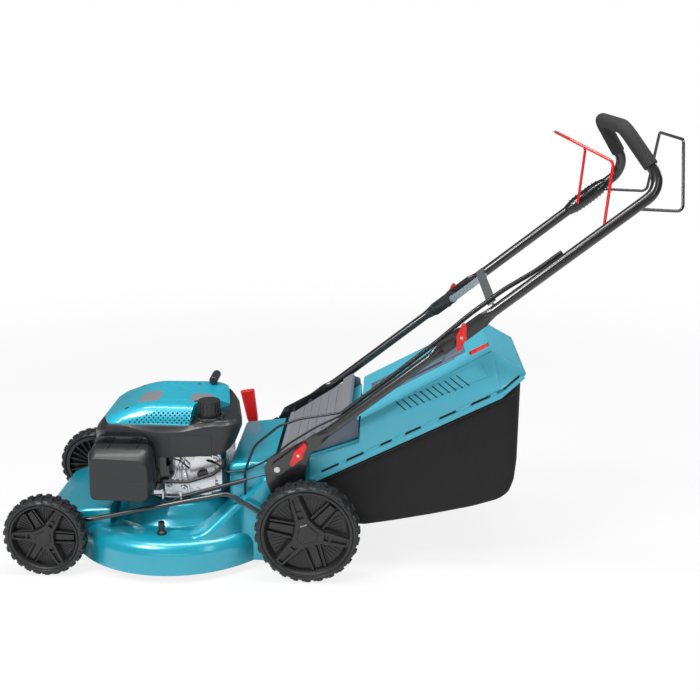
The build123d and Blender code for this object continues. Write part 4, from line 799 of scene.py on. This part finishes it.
    def shroud_detail(self):
        """Plain field on the shroud's near side and the filler's base ring."""
        field = Form()
        middle = -288
        flank = lambda u, v, depth: (u, -163.2 - (u - middle) * 0.018 - depth, v)
        field.prism(oblong(middle, 314, 100, 44, 2), -1, 0.7, flank)
        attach(field.build("shroud_field", "matt_black", 0.2), "deck")
        base = Form()
        spot = lambda u, v, depth: (-247 + u, -126 + v, 374 + depth)
        base.lathe([(29, -1), (37, -1), (37, 3), (34, 5), (29, 5)], 64, spot)
        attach(base.build("filler_base", "gloss_black", 0.6), "deck")

    def filter_box(self):
        """Filter cover with a curved upper bevel, a right-hand bevel, grooves and clips."""
        back = oblong(-454, 252.5, 152, 131, 22, 8)
        rings = [(back, -176), (back, -206), (oblong(-454, 252.5, 150, 129, 22, 8), -209)]
        last, near = self.face_outline(2.2), -233
        rings += [(self.face_outline(0), -231), (last, near)]
        form = Form()
        form.grid([[(x, y, z) for x, z in outline + outline[:1]] for outline, y in rings])
        form.add([(x, near, z) for x, z in last], [list(range(len(last)))])
        made = form.build("filter_cover_look", "black_plastic", 0, 28)
        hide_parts("filter_cover")
        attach(made, "filter_cover")
        plate = Form()
        plate.prism(oblong(-455, 268, 130, 136, 16), 0, 14, flat_side(-160))
        plate.prism(oblong(-372, 262, 40, 60, 10), 0, 10, flat_side(-150))
        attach(plate.build("filter_plate", "gloss_black", 1.0), "deck")
        tabs = Form()
        for x, z, high in ((-492, 318, 6), (-424, 318, 6), (-494, 187, 6), (-412, 187, 6)):
            tabs.prism(oblong(x, z, 26, high, 1.5), 8, 34, flat_side(-176))
        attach(tabs.build("filter_clips", "black_plastic", 0.6), "filter_cover")
        marks = Form()
        front = flat_side(near)
        for z, start in ((210, -432), (232, -440), (244, -444)):
            marks.prism([(start, z), (-392, z), (-392, z + 1.2), (start, z + 1.2)], -0.6, 0.35, front)
        arc = [(-478 + 36 * cos(radians(a)), 206 + 46 * sin(radians(a))) for a in range(24, 86, 6)]
        inner = [(-478 + 34.6 * cos(radians(a)), 206 + 44.4 * sin(radians(a))) for a in range(84, 20, -6)]
        marks.prism(arc + inner, -0.6, 0.35, front)
        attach(marks.build("filter_grooves", "matt_black", 0.1), "filter_cover")

    def face_outline(self, inset):
        """Outline of the filter cover's flat face, with one point for each point of its back edge."""
        low, high, left, right = 193, 299, -524, -386
        count = 8
        points = []
        corners = (
            (right - 22, high - 26, 26, 0), (left + 16, high - 10, 14, 90),
            (left + 14, low + 14, 14, 180), (right - 14, low + 14, 16, 270),
        )
        for x, z, radius, start in corners:
            for step in range(count):
                angle = radians(start + 90 * step / (count - 1))
                points.append((x + (radius - inset) * cos(angle), z + (radius - inset) * sin(angle)))
        return points


class MOWER_OT_wheels(bpy.types.Operator):
    """Build the wheels"""

    bl_idname = "mower.wheels"
    bl_label = "Wheels"

    def execute(self, context):
        sizes = context.scene.mower_sizes
        rows = (
            ("rear", 0, 127, 110, 52, 214, 108),
            ("front", -638, 101.5, 84.4, 46, 211, 58),
        )
        for end, x, radius, rim, wide, inner, turn in rows:
            for side, sign in (("left", -1), ("right", 1)):
                place = self.placer(x, radius, inner, sign)
                body = f"{end}_{side}_wheel"
                self.rim(f"{end}_{side}", body, rim, wide, radians(turn), place, sizes)
                self.tyre(f"{end}_{side}", body, radius, rim, wide, place, sizes)
        for side in ("left", "right"):
            look(f"{side}_pinion", "dark_iron", 0.2)
        return {"FINISHED"}

    def placer(self, x, z, inner, sign):
        """Place function of a wheel: u forward to the rear, v up, depth out from the inner face."""
        return lambda u, v, depth: (x + u, sign * (inner + depth), z + v)

    def rim(self, name, body, rim, wide, turn, place, sizes):
        """Rim with star spokes, low double spokes, ribbed disc and hub cap."""
        share = rim / 110
        form = Form()
        lip, disc, face = wide - 1.5, wide - 20, wide - 4
        band = rim - 7 * share
        form.lathe(
            [
                (8, 3), (18, 3), (18, disc - 5), (band - 4, disc - 5), (band - 4, 2), (rim - 0.3, 2),
                (rim - 0.3, lip), (rim - 3, lip + 0.8), (band, lip - 1), (band - 7 * share, disc + 3),
                (band - 7 * share, disc), (8, disc),
            ],
            96, place,
        )
        turned = lambda outline, angle: turned_outline([(u * share, v * share) for u, v in outline], angle)
        polar = lambda radius, angle: (radius * share * cos(angle), radius * share * sin(angle))
        for number in range(sizes.rim_ribs):
            rib = [(52 * share, -0.8), (88 * share, -1.1), (88 * share, 1.1), (52 * share, 0.8)]
            form.prism(turned_outline(rib, 2 * pi * number / sizes.rim_ribs), disc - 1, disc + 1.2, place)
        webs = 24
        for number in range(webs):
            web = [(17, -1.5), (band - 3, -1.5), (band - 3, 1.5), (17, 1.5)]
            form.prism(turned_outline(web, 2 * pi * number / webs), 7, disc - 4, place)
        for number in range(3):
            angle = turn + 2 * pi * number / 3
            low = turned([(26, -27), (100, -18), (106, -14), (106, 14), (100, 18), (26, 27)], angle)
            top = turned([(26, -19), (98, -12), (103, -10), (103, 10), (98, 12), (26, 19)], angle)
            form.tapered(low, disc - 1, top, face - 7, place)
            for side in (-1, 1):
                rail = [(40, 7 * side), (103, 5.5 * side), (103, 10.5 * side), (40, 17 * side)]
                form.prism(turned(rail, angle), face - 9, face - 1.2, place)
            end = [(97, -10), (104, -10), (104, 10), (97, 10)]
            form.prism(turned(end, angle), face - 9, face - 0.6, place)
            block = [(52, -7), (60, -6.6), (60, 6.6), (52, 7)]
            form.prism(turned(block, angle), face - 9, face - 3.2, place)
            angle += pi / 3
            low = turned([(34, -12), (95, -10), (95, 10), (34, 12)], angle)
            top = turned([(34, -10), (92, -8), (92, 8), (34, 10)], angle)
            form.tapered(low, disc - 1, top, disc + 6, place)
            for side in (-1, 1):
                rib = [(34, 16 * side), (95, 13 * side), (95, 18 * side), (34, 22 * side)]
                form.prism(turned(rib, angle), disc - 1, disc + 9, place)
        star, crown, cap, lid = [], [], [], []
        for number in range(3):
            angle = turn + 2 * pi * number / 3
            pairs = ((star, 49, 0.37), (crown, 44, 0.33), (cap, 29, 0.36), (lid, 25, 0.36))
            for outline, radius, spread in pairs:
                outline += [polar(radius, angle - spread), polar(radius, angle + spread)]
            star.append(polar(36, angle + pi / 3))
            crown.append(polar(30, angle + pi / 3))
        form.tapered(star, disc - 1, crown, face, place)
        form.tapered(cap, face - 1, lid, face + 2.6, place)
        made = form.build(f"{name}_rim_look", "wheel_plastic", 0.8, 28)
        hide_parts(f"{name}_rim")
        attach(made, body)

    def tyre(self, name, body, radius, rim, wide, place, sizes):
        """Tyre with two rows of arrow lugs and small side blocks."""
        form = Form()
        tread = radius - sizes.lug_height
        side = (rim + tread) / 2
        form.lathe(
            [
                (rim, 4), (rim + 2, 1.5), (side - 1, 0), (tread - 5, 2), (tread - 1.5, 6), (tread, wide / 2),
                (tread - 1.5, wide - 6), (tread - 5, wide - 2), (side - 1, wide), (rim + 2, wide - 1.5),
                (rim, wide - 4),
            ],
            120, place,
        )
        count = sizes.lug_count
        half = wide / 2
        for number in range(count):
            for row in (0, 1):
                middle = 2 * pi * (number + row / 2) / count
                arrow = [(-5, 3), (7, 3), (9, 12), (1, half + 3), (-6, half + 1), (-2, 13)]
                foot, top = [], []
                for arc, depth in arrow:
                    depth = depth if row == 0 else wide - depth
                    angle = middle + arc / radius
                    edge = 2.5 if depth < 8 or depth > wide - 8 else 0
                    foot.append((angle, tread - 6, depth))
                    top.append((angle - 0.006 * (1 if arc > 0 else -1), radius - edge, depth))
                ring = [place(r * cos(a), r * sin(a), d) for a, r, d in foot + top]
                size = len(arrow)
                faces = [list(range(size)), list(range(size, 2 * size))]
                for step in range(size):
                    after = (step + 1) % size
                    faces.append([step, after, size + after, size + step])
                form.add(ring, faces)
            middle = 2 * pi * (number + 0.25) / count
            for depth, out in ((0.4, -0.9), (wide - 0.4, 0.9)):
                block = []
                for d in (depth - out, depth + out):
                    for r, a in ((side, -0.05), (side, 0.05), (side + 5, 0.045), (side + 5, -0.045)):
                        block.append(place(r * cos(middle + a), r * sin(middle + a), min(max(d, 0), wide)))
                form.add(block, BOX_FACES)
        made = form.build(f"{name}_tyre_look", "tyre_rubber", 0.7, 30)
        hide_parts(f"{name}_tyre")
        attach(made, body)


class MOWER_OT_linkage(bpy.types.Operator):
    """Dress the axles and the height adjustment"""

    bl_idname = "mower.linkage"
    bl_label = "Axles and height adjustment"

    def execute(self, context):
        for node in ("rear_axle_frame", "front_axle", "connecting_rod"):
            look(node, "black_coat", 0, 32)
        look("assist_spring", "cable_sheath")
        look("height_grip", "red_plastic", 4, 25, 3)
        return {"FINISHED"}


class MOWER_OT_handle(bpy.types.Operator):
    """Dress the handle, its knobs and bails"""

    bl_idname = "mower.handle"
    bl_label = "Handle"

    def execute(self, context):
        sizes = context.scene.mower_sizes
        look("lower_handle", "black_coat", 0, 32)
        look("upper_handle", "black_coat", 0, 32)
        look("handle_brace", "zinc_steel", sizes.edge)
        self.housing()
        look("foam_grip", "foam", 2)
        look("knob_bolts", "zinc_steel", 0.6)
        for side in ("left", "right"):
            for level in ("lower", "upper"):
                look(f"{side}_{level}_knob", "red_plastic", 2.0, 25, 3)
        look("brake_bail", "red_coat")
        look("drive_bail", "black_coat")
        return {"FINISHED"}

    def housing(self):
        """Spindle-shaped control housing with ribs, round the far tube."""
        foot = Vector((-23, 199, 309))
        sides = 24

        def ring(run, wide, high):
            """Closed ring round the tube, at a run along it."""
            points = []
            for number in range(sides + 1):
                angle = 2 * pi * number / sides
                across = Vector((0, wide * cos(angle), 0))
                points.append(foot + HANDLE_LINE * run + across + HANDLE_UP * high * sin(angle))
            return points

        form = Form()
        shape = ((850, 12.6), (856, 15), (876, 19), (896, 20), (928, 20), (948, 19), (968, 15), (974, 12.6))
        form.grid([ring(run, reach, reach - 1) for run, reach in shape])
        for number in range(9):
            run = 872 + number * 10
            reach = between(shape, run) + 2
            form.grid([
                ring(run - 1.2, 13, 13), ring(run - 1.2, reach, reach - 1), ring(run + 1.2, reach, reach - 1),
                ring(run + 1.2, 13, 13),
            ])
        made = form.build("control_housing_look", "gloss_black", 0.3, 30)
        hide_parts("control_housing")
        ride_node(made, "control_housing")


class MOWER_OT_cables(bpy.types.Operator):
    """Dress the cables"""

    bl_idname = "mower.cables"
    bl_label = "Cables"

    def execute(self, context):
        conduit = dress("cable_conduit", "ribbed_conduit")
        at(300, 0, 565)
        at(420, 0, 660)
        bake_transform(conduit)
        for node in ("brake_cable", "drive_cable"):
            made = dress(node, "cable_sheath")
            at(-70, 0, 270)
            at(76, 0, 386)
            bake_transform(made)
        return {"FINISHED"}


class MOWER_OT_flap(bpy.types.Operator):
    """Dress the rear flap"""

    bl_idname = "mower.flap"
    bl_label = "Rear flap"

    def execute(self, context):
        look("rear_flap", "flap_grey", 1.0, 25, 2)
        return {"FINISHED"}


class MOWER_OT_bag(bpy.types.Operator):
    """Build the grass bag"""

    bl_idname = "mower.bag"
    bl_label = "Grass bag"

    def execute(self, context):
        sizes = context.scene.mower_sizes
        look("bag_lid", "lid_plastic", 0, 30, 2, self.keep_front)
        self.lid_skin()
        look("bag_handle", "slate_plastic", 3.0, 25, 3)
        look("bag_full_flap", "red_plastic", 0.8)
        self.cloth(sizes)
        self.vents(sizes)
        self.flange()
        self.tray_frame()
        return {"FINISHED"}

    def side_plane(self, sign):
        """Point and outward normal of the lid's long side facet."""
        first, second = at(122, sign * LID_HALF, 374), at(450, sign * LID_HALF, 473)
        third = at(431, sign * 146, 556)
        normal = (second - first).cross(third - first).normalized()
        return first, normal if normal.y * sign > 0 else -normal

    def keep_front(self, work):
        """Keeps the lid's neck and front ledge."""
        bmesh.ops.triangulate(work, faces=work.faces)
        geometry = [*work.verts, *work.edges, *work.faces]
        bmesh.ops.bisect_plane(
            work, geom=geometry, dist=1e-6, plane_co=at(119, 0, 300), plane_no=(1, 0, 0), clear_outer=True
        )

    def lid_skin(self):
        """Faceted skin of the lid behind its front ledge, with a carry tray and a window opening."""
        form = Form()
        run = LID_RUN
        top = lambda r, y, depth=0: tuple(LID_START + LID_SLOPE * r + Vector((0, y, 0)) - LID_UP * depth)
        edge = lambda r: 173 - 27 * r / run
        for sign in (-1, 1):
            side = [
                (119, 280.5, 180), (456, 449, 180), (492, 484, 178), (508, 500, 172), (513, 507, 168),
                (494, 496, 177), (450, 473, 180), (122, 374, 180), (121, 331, 180), (119, 330.3, 180),
            ]
            form.add([(x, sign * y, z) for x, z, y in side], [list(range(len(side)))])
            low, high = (122, sign * LID_HALF, 374), (450, sign * LID_HALF, 473)
            front, back = top(0, sign * edge(0)), top(run, sign * edge(run))
            form.add([low, high, back, front], [[0, 1, 2, 3]])
            corner = [(494, sign * 177, 496), (513, sign * 168, 507), (506, sign * 138, 514)]
            form.add([high, *corner, back], [[0, 1, 2, 3, 4]])
        runs = (0, 37, 257, 297, 348, run)
        for r, q in zip(runs, runs[1:]):
            rows = [[-edge(t), -102, -68, -58, 58, 68, 102, edge(t)] for t in (r, q)]
            for n in range(7):
                tray, window = (37, 3), (297, 1)
                if (r, n) not in (tray, window):
                    near = [top(r, rows[0][n]), top(q, rows[1][n])]
                    far = [top(q, rows[1][n + 1]), top(r, rows[0][n + 1])]
                    form.add(near + far, [[0, 1, 2, 3]])
        rim = [(37, -58), (257, -58), (257, 58), (37, 58)]
        floor = [(43, -52), (251, -52), (251, 52), (43, 52)]
        walls = [[n, (n + 1) % 4, 4 + (n + 1) % 4, 4 + n] for n in range(4)]
        form.add([top(r, y) for r, y in rim] + [top(r, y, 33) for r, y in floor], walls + [[4, 5, 6, 7]])
        front, back = top(0, 0), top(run, 0)
        for pairs in (
            ((119, 330.3, 180), (121, 331, 180)),
            ((121, 331, 180), (122, 374, 180), (front[0], front[2], edge(0))),
            ((back[0], back[2], edge(run)), (506, 514, 138)),
            ((506, 514, 138), (513, 507, 168)),
            ((513, 507, 168), (508, 500, 172)),
            ((508, 500, 172), (492, 484, 178)),
        ):
            ring = [(x, -y, z) for x, z, y in pairs] + [(x, y, z) for x, z, y in pairs[::-1]]
            form.add(ring, [list(range(len(ring)))])
        made = form.build("lid_skin", "lid_plastic", 2.4, 6, 3)
        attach(made, "grass_bag")

    def on_side(self, sign, x, z, lift):
        """Point on the lid's side facet, lifted off it, in the mower's own frame."""
        point, normal = self.side_plane(sign)
        spot = at(x, 0, z)
        spot.y = point.y - (normal.x * (spot.x - point.x) + normal.z * (spot.z - point.z)) / normal.y
        spot += normal * lift / 1000
        return (spot.x * 1000 - SHIFT, spot.y * 1000, spot.z * 1000)

    def top_line(self, x):
        """Height of the cloth's upper edge."""
        if x < 456:
            return 221.4 + (x - 2) * BAG_RISE
        return 448.4 + (x - 456) * 0.88

    def low_line(self, x):
        """Height of the bag's underside."""
        points = (
            (2, 158), (30, 138), (60, 122), (95, 108), (130, 103), (200, 115), (300, 135), (400, 158),
            (462, 178), (485, 196), (497, 222), (502, 262),
        )
        return between(points, x)

    def cloth(self, sizes):
        """Soft bag: rounded sections from front to rear, with shallow folds."""
        rows = []
        stations = [2, 14, 28] + [40 + 16 * n for n in range(27)] + [468, 478, 486, 492, 497, 500, 502]
        for x in stations:
            top, low = self.top_line(x), self.low_line(x)
            half = BAG_HALF
            if x > 470:
                half -= 22 * ((x - 470) / 32) ** 3
            corner = min(30.0, (top - low) * 0.3)
            row = []
            for step in range(17):
                row.append((-half, top + (low + corner - top) * step / 16))
            for step in range(1, 8):
                angle = pi / 2 * step / 8
                row.append((-half + corner * (1 - cos(angle)), low + corner * (1 - sin(angle))))
            for step in range(25):
                row.append((-half + corner + (2 * half - 2 * corner) * step / 24, low))
            row += [(-y, z) for y, z in reversed(row[:24])]
            rows.append([self.fold(x, y, z, top, low, sizes.sag) for y, z in row])
        form = Form()
        form.grid(rows)
        last = rows[-1]
        count = len(last)
        start = len(form.points) - count
        for number in range(count // 2 - 1):
            a, b = start + number, start + number + 1
            c, d = start + count - 2 - number, start + count - 1 - number
            form.faces.append([a, b, c, d])
        front = len(rows[0])
        inner = [(2, max(min(y, 132), -132), min(max(z, 168), 292)) for x, y, z in rows[0]]
        base = len(form.points)
        form.points += [Vector(p) for p in inner]
        for number in range(front - 1):
            form.faces.append([number, number + 1, base + number + 1, base + number])
        made = form.build("bag_fabric_look", "bag_cloth", 0, 60)
        cloth_thickness = 1.6
        thick = made.modifiers.new("Thickness", "SOLIDIFY")
        thick.thickness = cloth_thickness / 1000
        thick.offset = -1
        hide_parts("bag_fabric")
        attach(made, "grass_bag")

    def fold(self, x, y, z, top, low, sag):
        """Point of the cloth with its share of the soft folds."""
        hang = (top - z) / max(top - low, 1)
        middle = sin(pi * min(max(hang, 0), 1))
        wide = noise.noise(Vector((x / 130, y / 150, z / 120)))
        fine = noise.noise(Vector((x / 46, y / 60, z / 52)))
        push = (wide + fine * 0.35) * sag * middle
        if abs(y) > 165:
            y -= copysign(sag * 0.9 * middle + push, y)
        else:
            z += push * 0.6 * (1 - abs(y) / BAG_HALF) + sag * 0.3
        return (x, y, z)

    def vents(self, sizes):
        """Raised panel on each side of the lid, with vent slots."""
        panels, slots = Form(), Form()
        for sign in (-1, 1):
            outline = [(190, 419), (404, 529), (424, 499), (212, 409)]
            points = [self.on_side(sign, x, z, lift) for lift in (-1, 1.0) for x, z in outline]
            panels.add(points, BOX_FACES)
            last = sizes.vent_count - 1
            for number in range(sizes.vent_count):
                share = number / last
                x, z = 207 + 141 * share, 432 + 65 * share
                u, v = 229 + 149 * share, 415 + 61 * share
                # Each vent slot is a thin near-black strip on the panel: painted shade standing in for the
                # open slot.
                strip = [(x, z), (x + 2.6, z + 1.4), (u + 2.6, v + 1.4), (u, v)]
                points = [self.on_side(sign, a, b, lift) for lift in (0.2, 1.2) for a, b in strip]
                slots.add(points, BOX_FACES)
        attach(panels.build("lid_panels", "lid_plastic", 0.8), "grass_bag")
        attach(slots.build("lid_vents", "dark_gap"), "grass_bag")

    def flange(self):
        """Lip along the lid's lower edge, with clip slots."""
        lip, slots = Form(), Form()
        spans = ((30, 72), (91, 132), (172, 199), (231, 268), (311, 350), (386, 425))
        for sign in (-1, 1):
            place = lambda u, v, depth, side=sign: (u, side * (LID_HALF + depth), v)
            line = lambda x: 223 + (x - 2) * BAG_RISE
            strip = [(6, line(6)), (456, line(456)), (456, line(456) + 15), (6, line(6) + 15)]
            lip.prism(strip, -1, 3.4, place)
            lip.prism([(456, 450), (509, 501), (500, 506), (456, 465)], -1, 3.4, place)
            for (start, end), (after, _) in zip(spans, spans[1:] + ((446, 0),)):
                low, high = line(start) + 16, line(end) + 16
                # The clip slots are near-black strips on the lip: painted shade standing in for open slots.
                slots.prism([(start, low), (end, high), (end, high + 6), (start, low + 6)], -1, 0.5, place)
                tab = [
                    (end + 2, line(end) + 14), (after - 2, line(after) + 14), (after - 2, line(after) + 21),
                    (end + 6, line(end) + 24),
                ]
                lip.prism(tab, -1, 2.6, place)
            slots.prism([(459, 474), (494, 507), (496, 502), (462, 469)], -1, 0.5, place)
        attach(lip.build("lid_flange", "lid_plastic", 1.0), "grass_bag")
        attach(slots.build("lid_clips", "dark_gap", 0.3), "grass_bag")

    def tray_frame(self):
        """Slate frame round the lid's carry tray and the block at its rear end."""
        middle = LID_START + LID_SLOPE * 148
        place = lambda u, v, depth: tuple(middle + LID_SLOPE * u + Vector((0, v, 0)) + LID_UP * depth)
        edging = Form()
        for side in (-1, 1):
            bar = [(-122, side * 58), (110, side * 58), (110, side * 68), (-122, side * 68)]
            edging.prism(bar, -1, 3, place)
        edging.prism([(-122, -68), (-108, -68), (-108, 68), (-122, 68)], -1, 3, place)
        wedge = [(74, -59), (140, -59), (140, 59), (74, 59)]
        top = [(92, -55), (138, -55), (138, 55), (92, 55)]
        edging.tapered(wedge, -2, top, 9, place)
        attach(edging.build("tray_frame", "slate_plastic", 2.0, 25, 3), "grass_bag")


class MOWER_OT_stage(bpy.types.Operator):
    """Make the floor, lights and camera"""

    bl_idname = "mower.stage"
    bl_label = "Stage"

    def execute(self, context):
        scene = context.scene
        self.floor(scene)
        self.world(scene)
        for name, spot, aim, wide, high, power in (
            ("key", (-1.8, -2.0, 2.9), (-0.1, 0, 0.3), 1.1, 0.9, 76),
            ("top", (0.0, -0.5, 3.0), (0, 0, 0.3), 3.0, 0.45, 72),
            ("rear", (2.7, 1.2, 2.0), (0.2, 0, 0.5), 0.8, 1.4, 24),
            ("side", (1.5, -2.6, 1.7), (0.2, 0, 0.4), 0.4, 1.4, 9),
            ("strip", (-0.6, -3.2, 0.75), (-0.1, 0, 0.3), 2.6, 0.10, 5),
        ):
            lamp = bpy.data.lights.new(name, "AREA")
            lamp.shape = "RECTANGLE"
            lamp.size, lamp.size_y, lamp.energy = wide, high, power
            holder = bpy.data.objects.new(name, lamp)
            holder.location = spot
            holder.rotation_euler = (Vector(aim) - Vector(spot)).to_track_quat("-Z", "Y").to_euler()
            scene.collection.objects.link(holder)
        self.camera(scene)
        scene.view_settings.view_transform = "Standard"
        return {"FINISHED"}

    def floor(self, scene):
        """Pale floor, lit from below for the camera only so that it reads as white."""
        reach = 30.0
        mesh = bpy.data.meshes.new("floor")
        corners = [(-reach, -reach, 0), (reach, -reach, 0), (reach, reach, 0), (-reach, reach, 0)]
        mesh.from_pydata(corners, [], [(0, 1, 2, 3)])
        paint = Paint("floor_pale", (0.8, 0.8, 0.8), 0.7)
        seen = paint.node("ShaderNodeLightPath", output="Is Camera Ray")
        glow = paint.node("ShaderNodeEmission", {"Color": (1, 1, 1), "Strength": 1.0})
        body = Value(paint, paint.shader.outputs[0])
        x, y, z = paint.place()
        far = (x * x + y * y).calc("SQRT").over(1200, 3400)
        mix = paint.node("ShaderNodeMixShader", [seen * (0.84 + far * 0.16), body, glow])
        paint.feed(paint.tree.nodes["Material Output"].inputs["Surface"], mix)
        mesh.materials.append(paint.material)
        made = bpy.data.objects.new("floor", mesh)
        scene.collection.objects.link(made)

    def world(self, scene):
        """White to the camera, dim for everything else."""
        world = bpy.data.worlds.new("studio")
        scene.world = world
        world.use_nodes = True
        nodes = Nodes(world.node_tree)
        seen = nodes.node("ShaderNodeLightPath", output="Is Camera Ray")
        shade = nodes.blend(seen, (0.15, 0.153, 0.158), (1, 1, 1))
        nodes.feed(world.node_tree.nodes["Background"].inputs["Color"], shade)

    def camera(self, scene):
        """Camera off the mower's left side, a little above the handle and looking down."""
        yaw, pitch, roll = radians(2.194), radians(15.984), radians(0.162)
        wide, focal, centre_x, centre_y = 700, 1054.9, 350.1, 351.9
        lens = bpy.data.cameras.new("camera")
        lens.sensor_width = 36
        lens.lens = lens.sensor_width * focal / wide
        lens.shift_x = 0.5 - centre_x / wide
        lens.shift_y = centre_y / wide - 0.5
        lens.clip_end = 100
        holder = bpy.data.objects.new("camera", lens)
        turn = Matrix.Rotation(yaw, 4, "Z") @ Matrix.Rotation(pi / 2 - pitch, 4, "X")
        roll_turn = Matrix.Rotation(roll, 4, "Z")
        holder.matrix_world = Matrix.Translation(at(189.6, -2548.7, 1237.1)) @ turn @ roll_turn
        scene.collection.objects.link(holder)
        scene.camera = holder


class MOWER_PT_looks(bpy.types.Panel):
    """Panel with the settings and build steps"""

    bl_idname = "MOWER_PT_looks"
    bl_label = "Mower looks"
    bl_space_type = "VIEW_3D"
    bl_region_type = "UI"
    bl_category = "Mower"

    def draw(self, context):
        for group in (context.scene.mower_colours, context.scene.mower_sizes):
            for key in group.__annotations__:
                self.layout.prop(group, key)
        for step in STEPS:
            self.layout.operator(step.bl_idname)


STEPS = (
    MOWER_OT_paints,
    MOWER_OT_deck,
    MOWER_OT_blade,
    MOWER_OT_engine,
    MOWER_OT_wheels,
    MOWER_OT_linkage,
    MOWER_OT_handle,
    MOWER_OT_cables,
    MOWER_OT_flap,
    MOWER_OT_bag,
    MOWER_OT_stage,
)
CLASSES = (MowerColours, MowerSizes, *STEPS, MOWER_PT_looks)


def register():
    """Makes the classes and settings known."""
    for made in CLASSES:
        bpy.utils.register_class(made)
    bpy.types.Scene.mower_colours = PointerProperty(type=MowerColours)
    bpy.types.Scene.mower_sizes = PointerProperty(type=MowerSizes)


def unregister():
    """Takes the classes and settings away."""
    del bpy.types.Scene.mower_colours
    del bpy.types.Scene.mower_sizes
    for made in reversed(CLASSES):
        bpy.utils.unregister_class(made)


def main():
    """Runs every step."""
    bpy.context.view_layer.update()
    register()
    for step in STEPS:
        group, name = step.bl_idname.split(".")
        getattr(getattr(bpy.ops, group), name)()


if __name__ == "__main__":
    main()
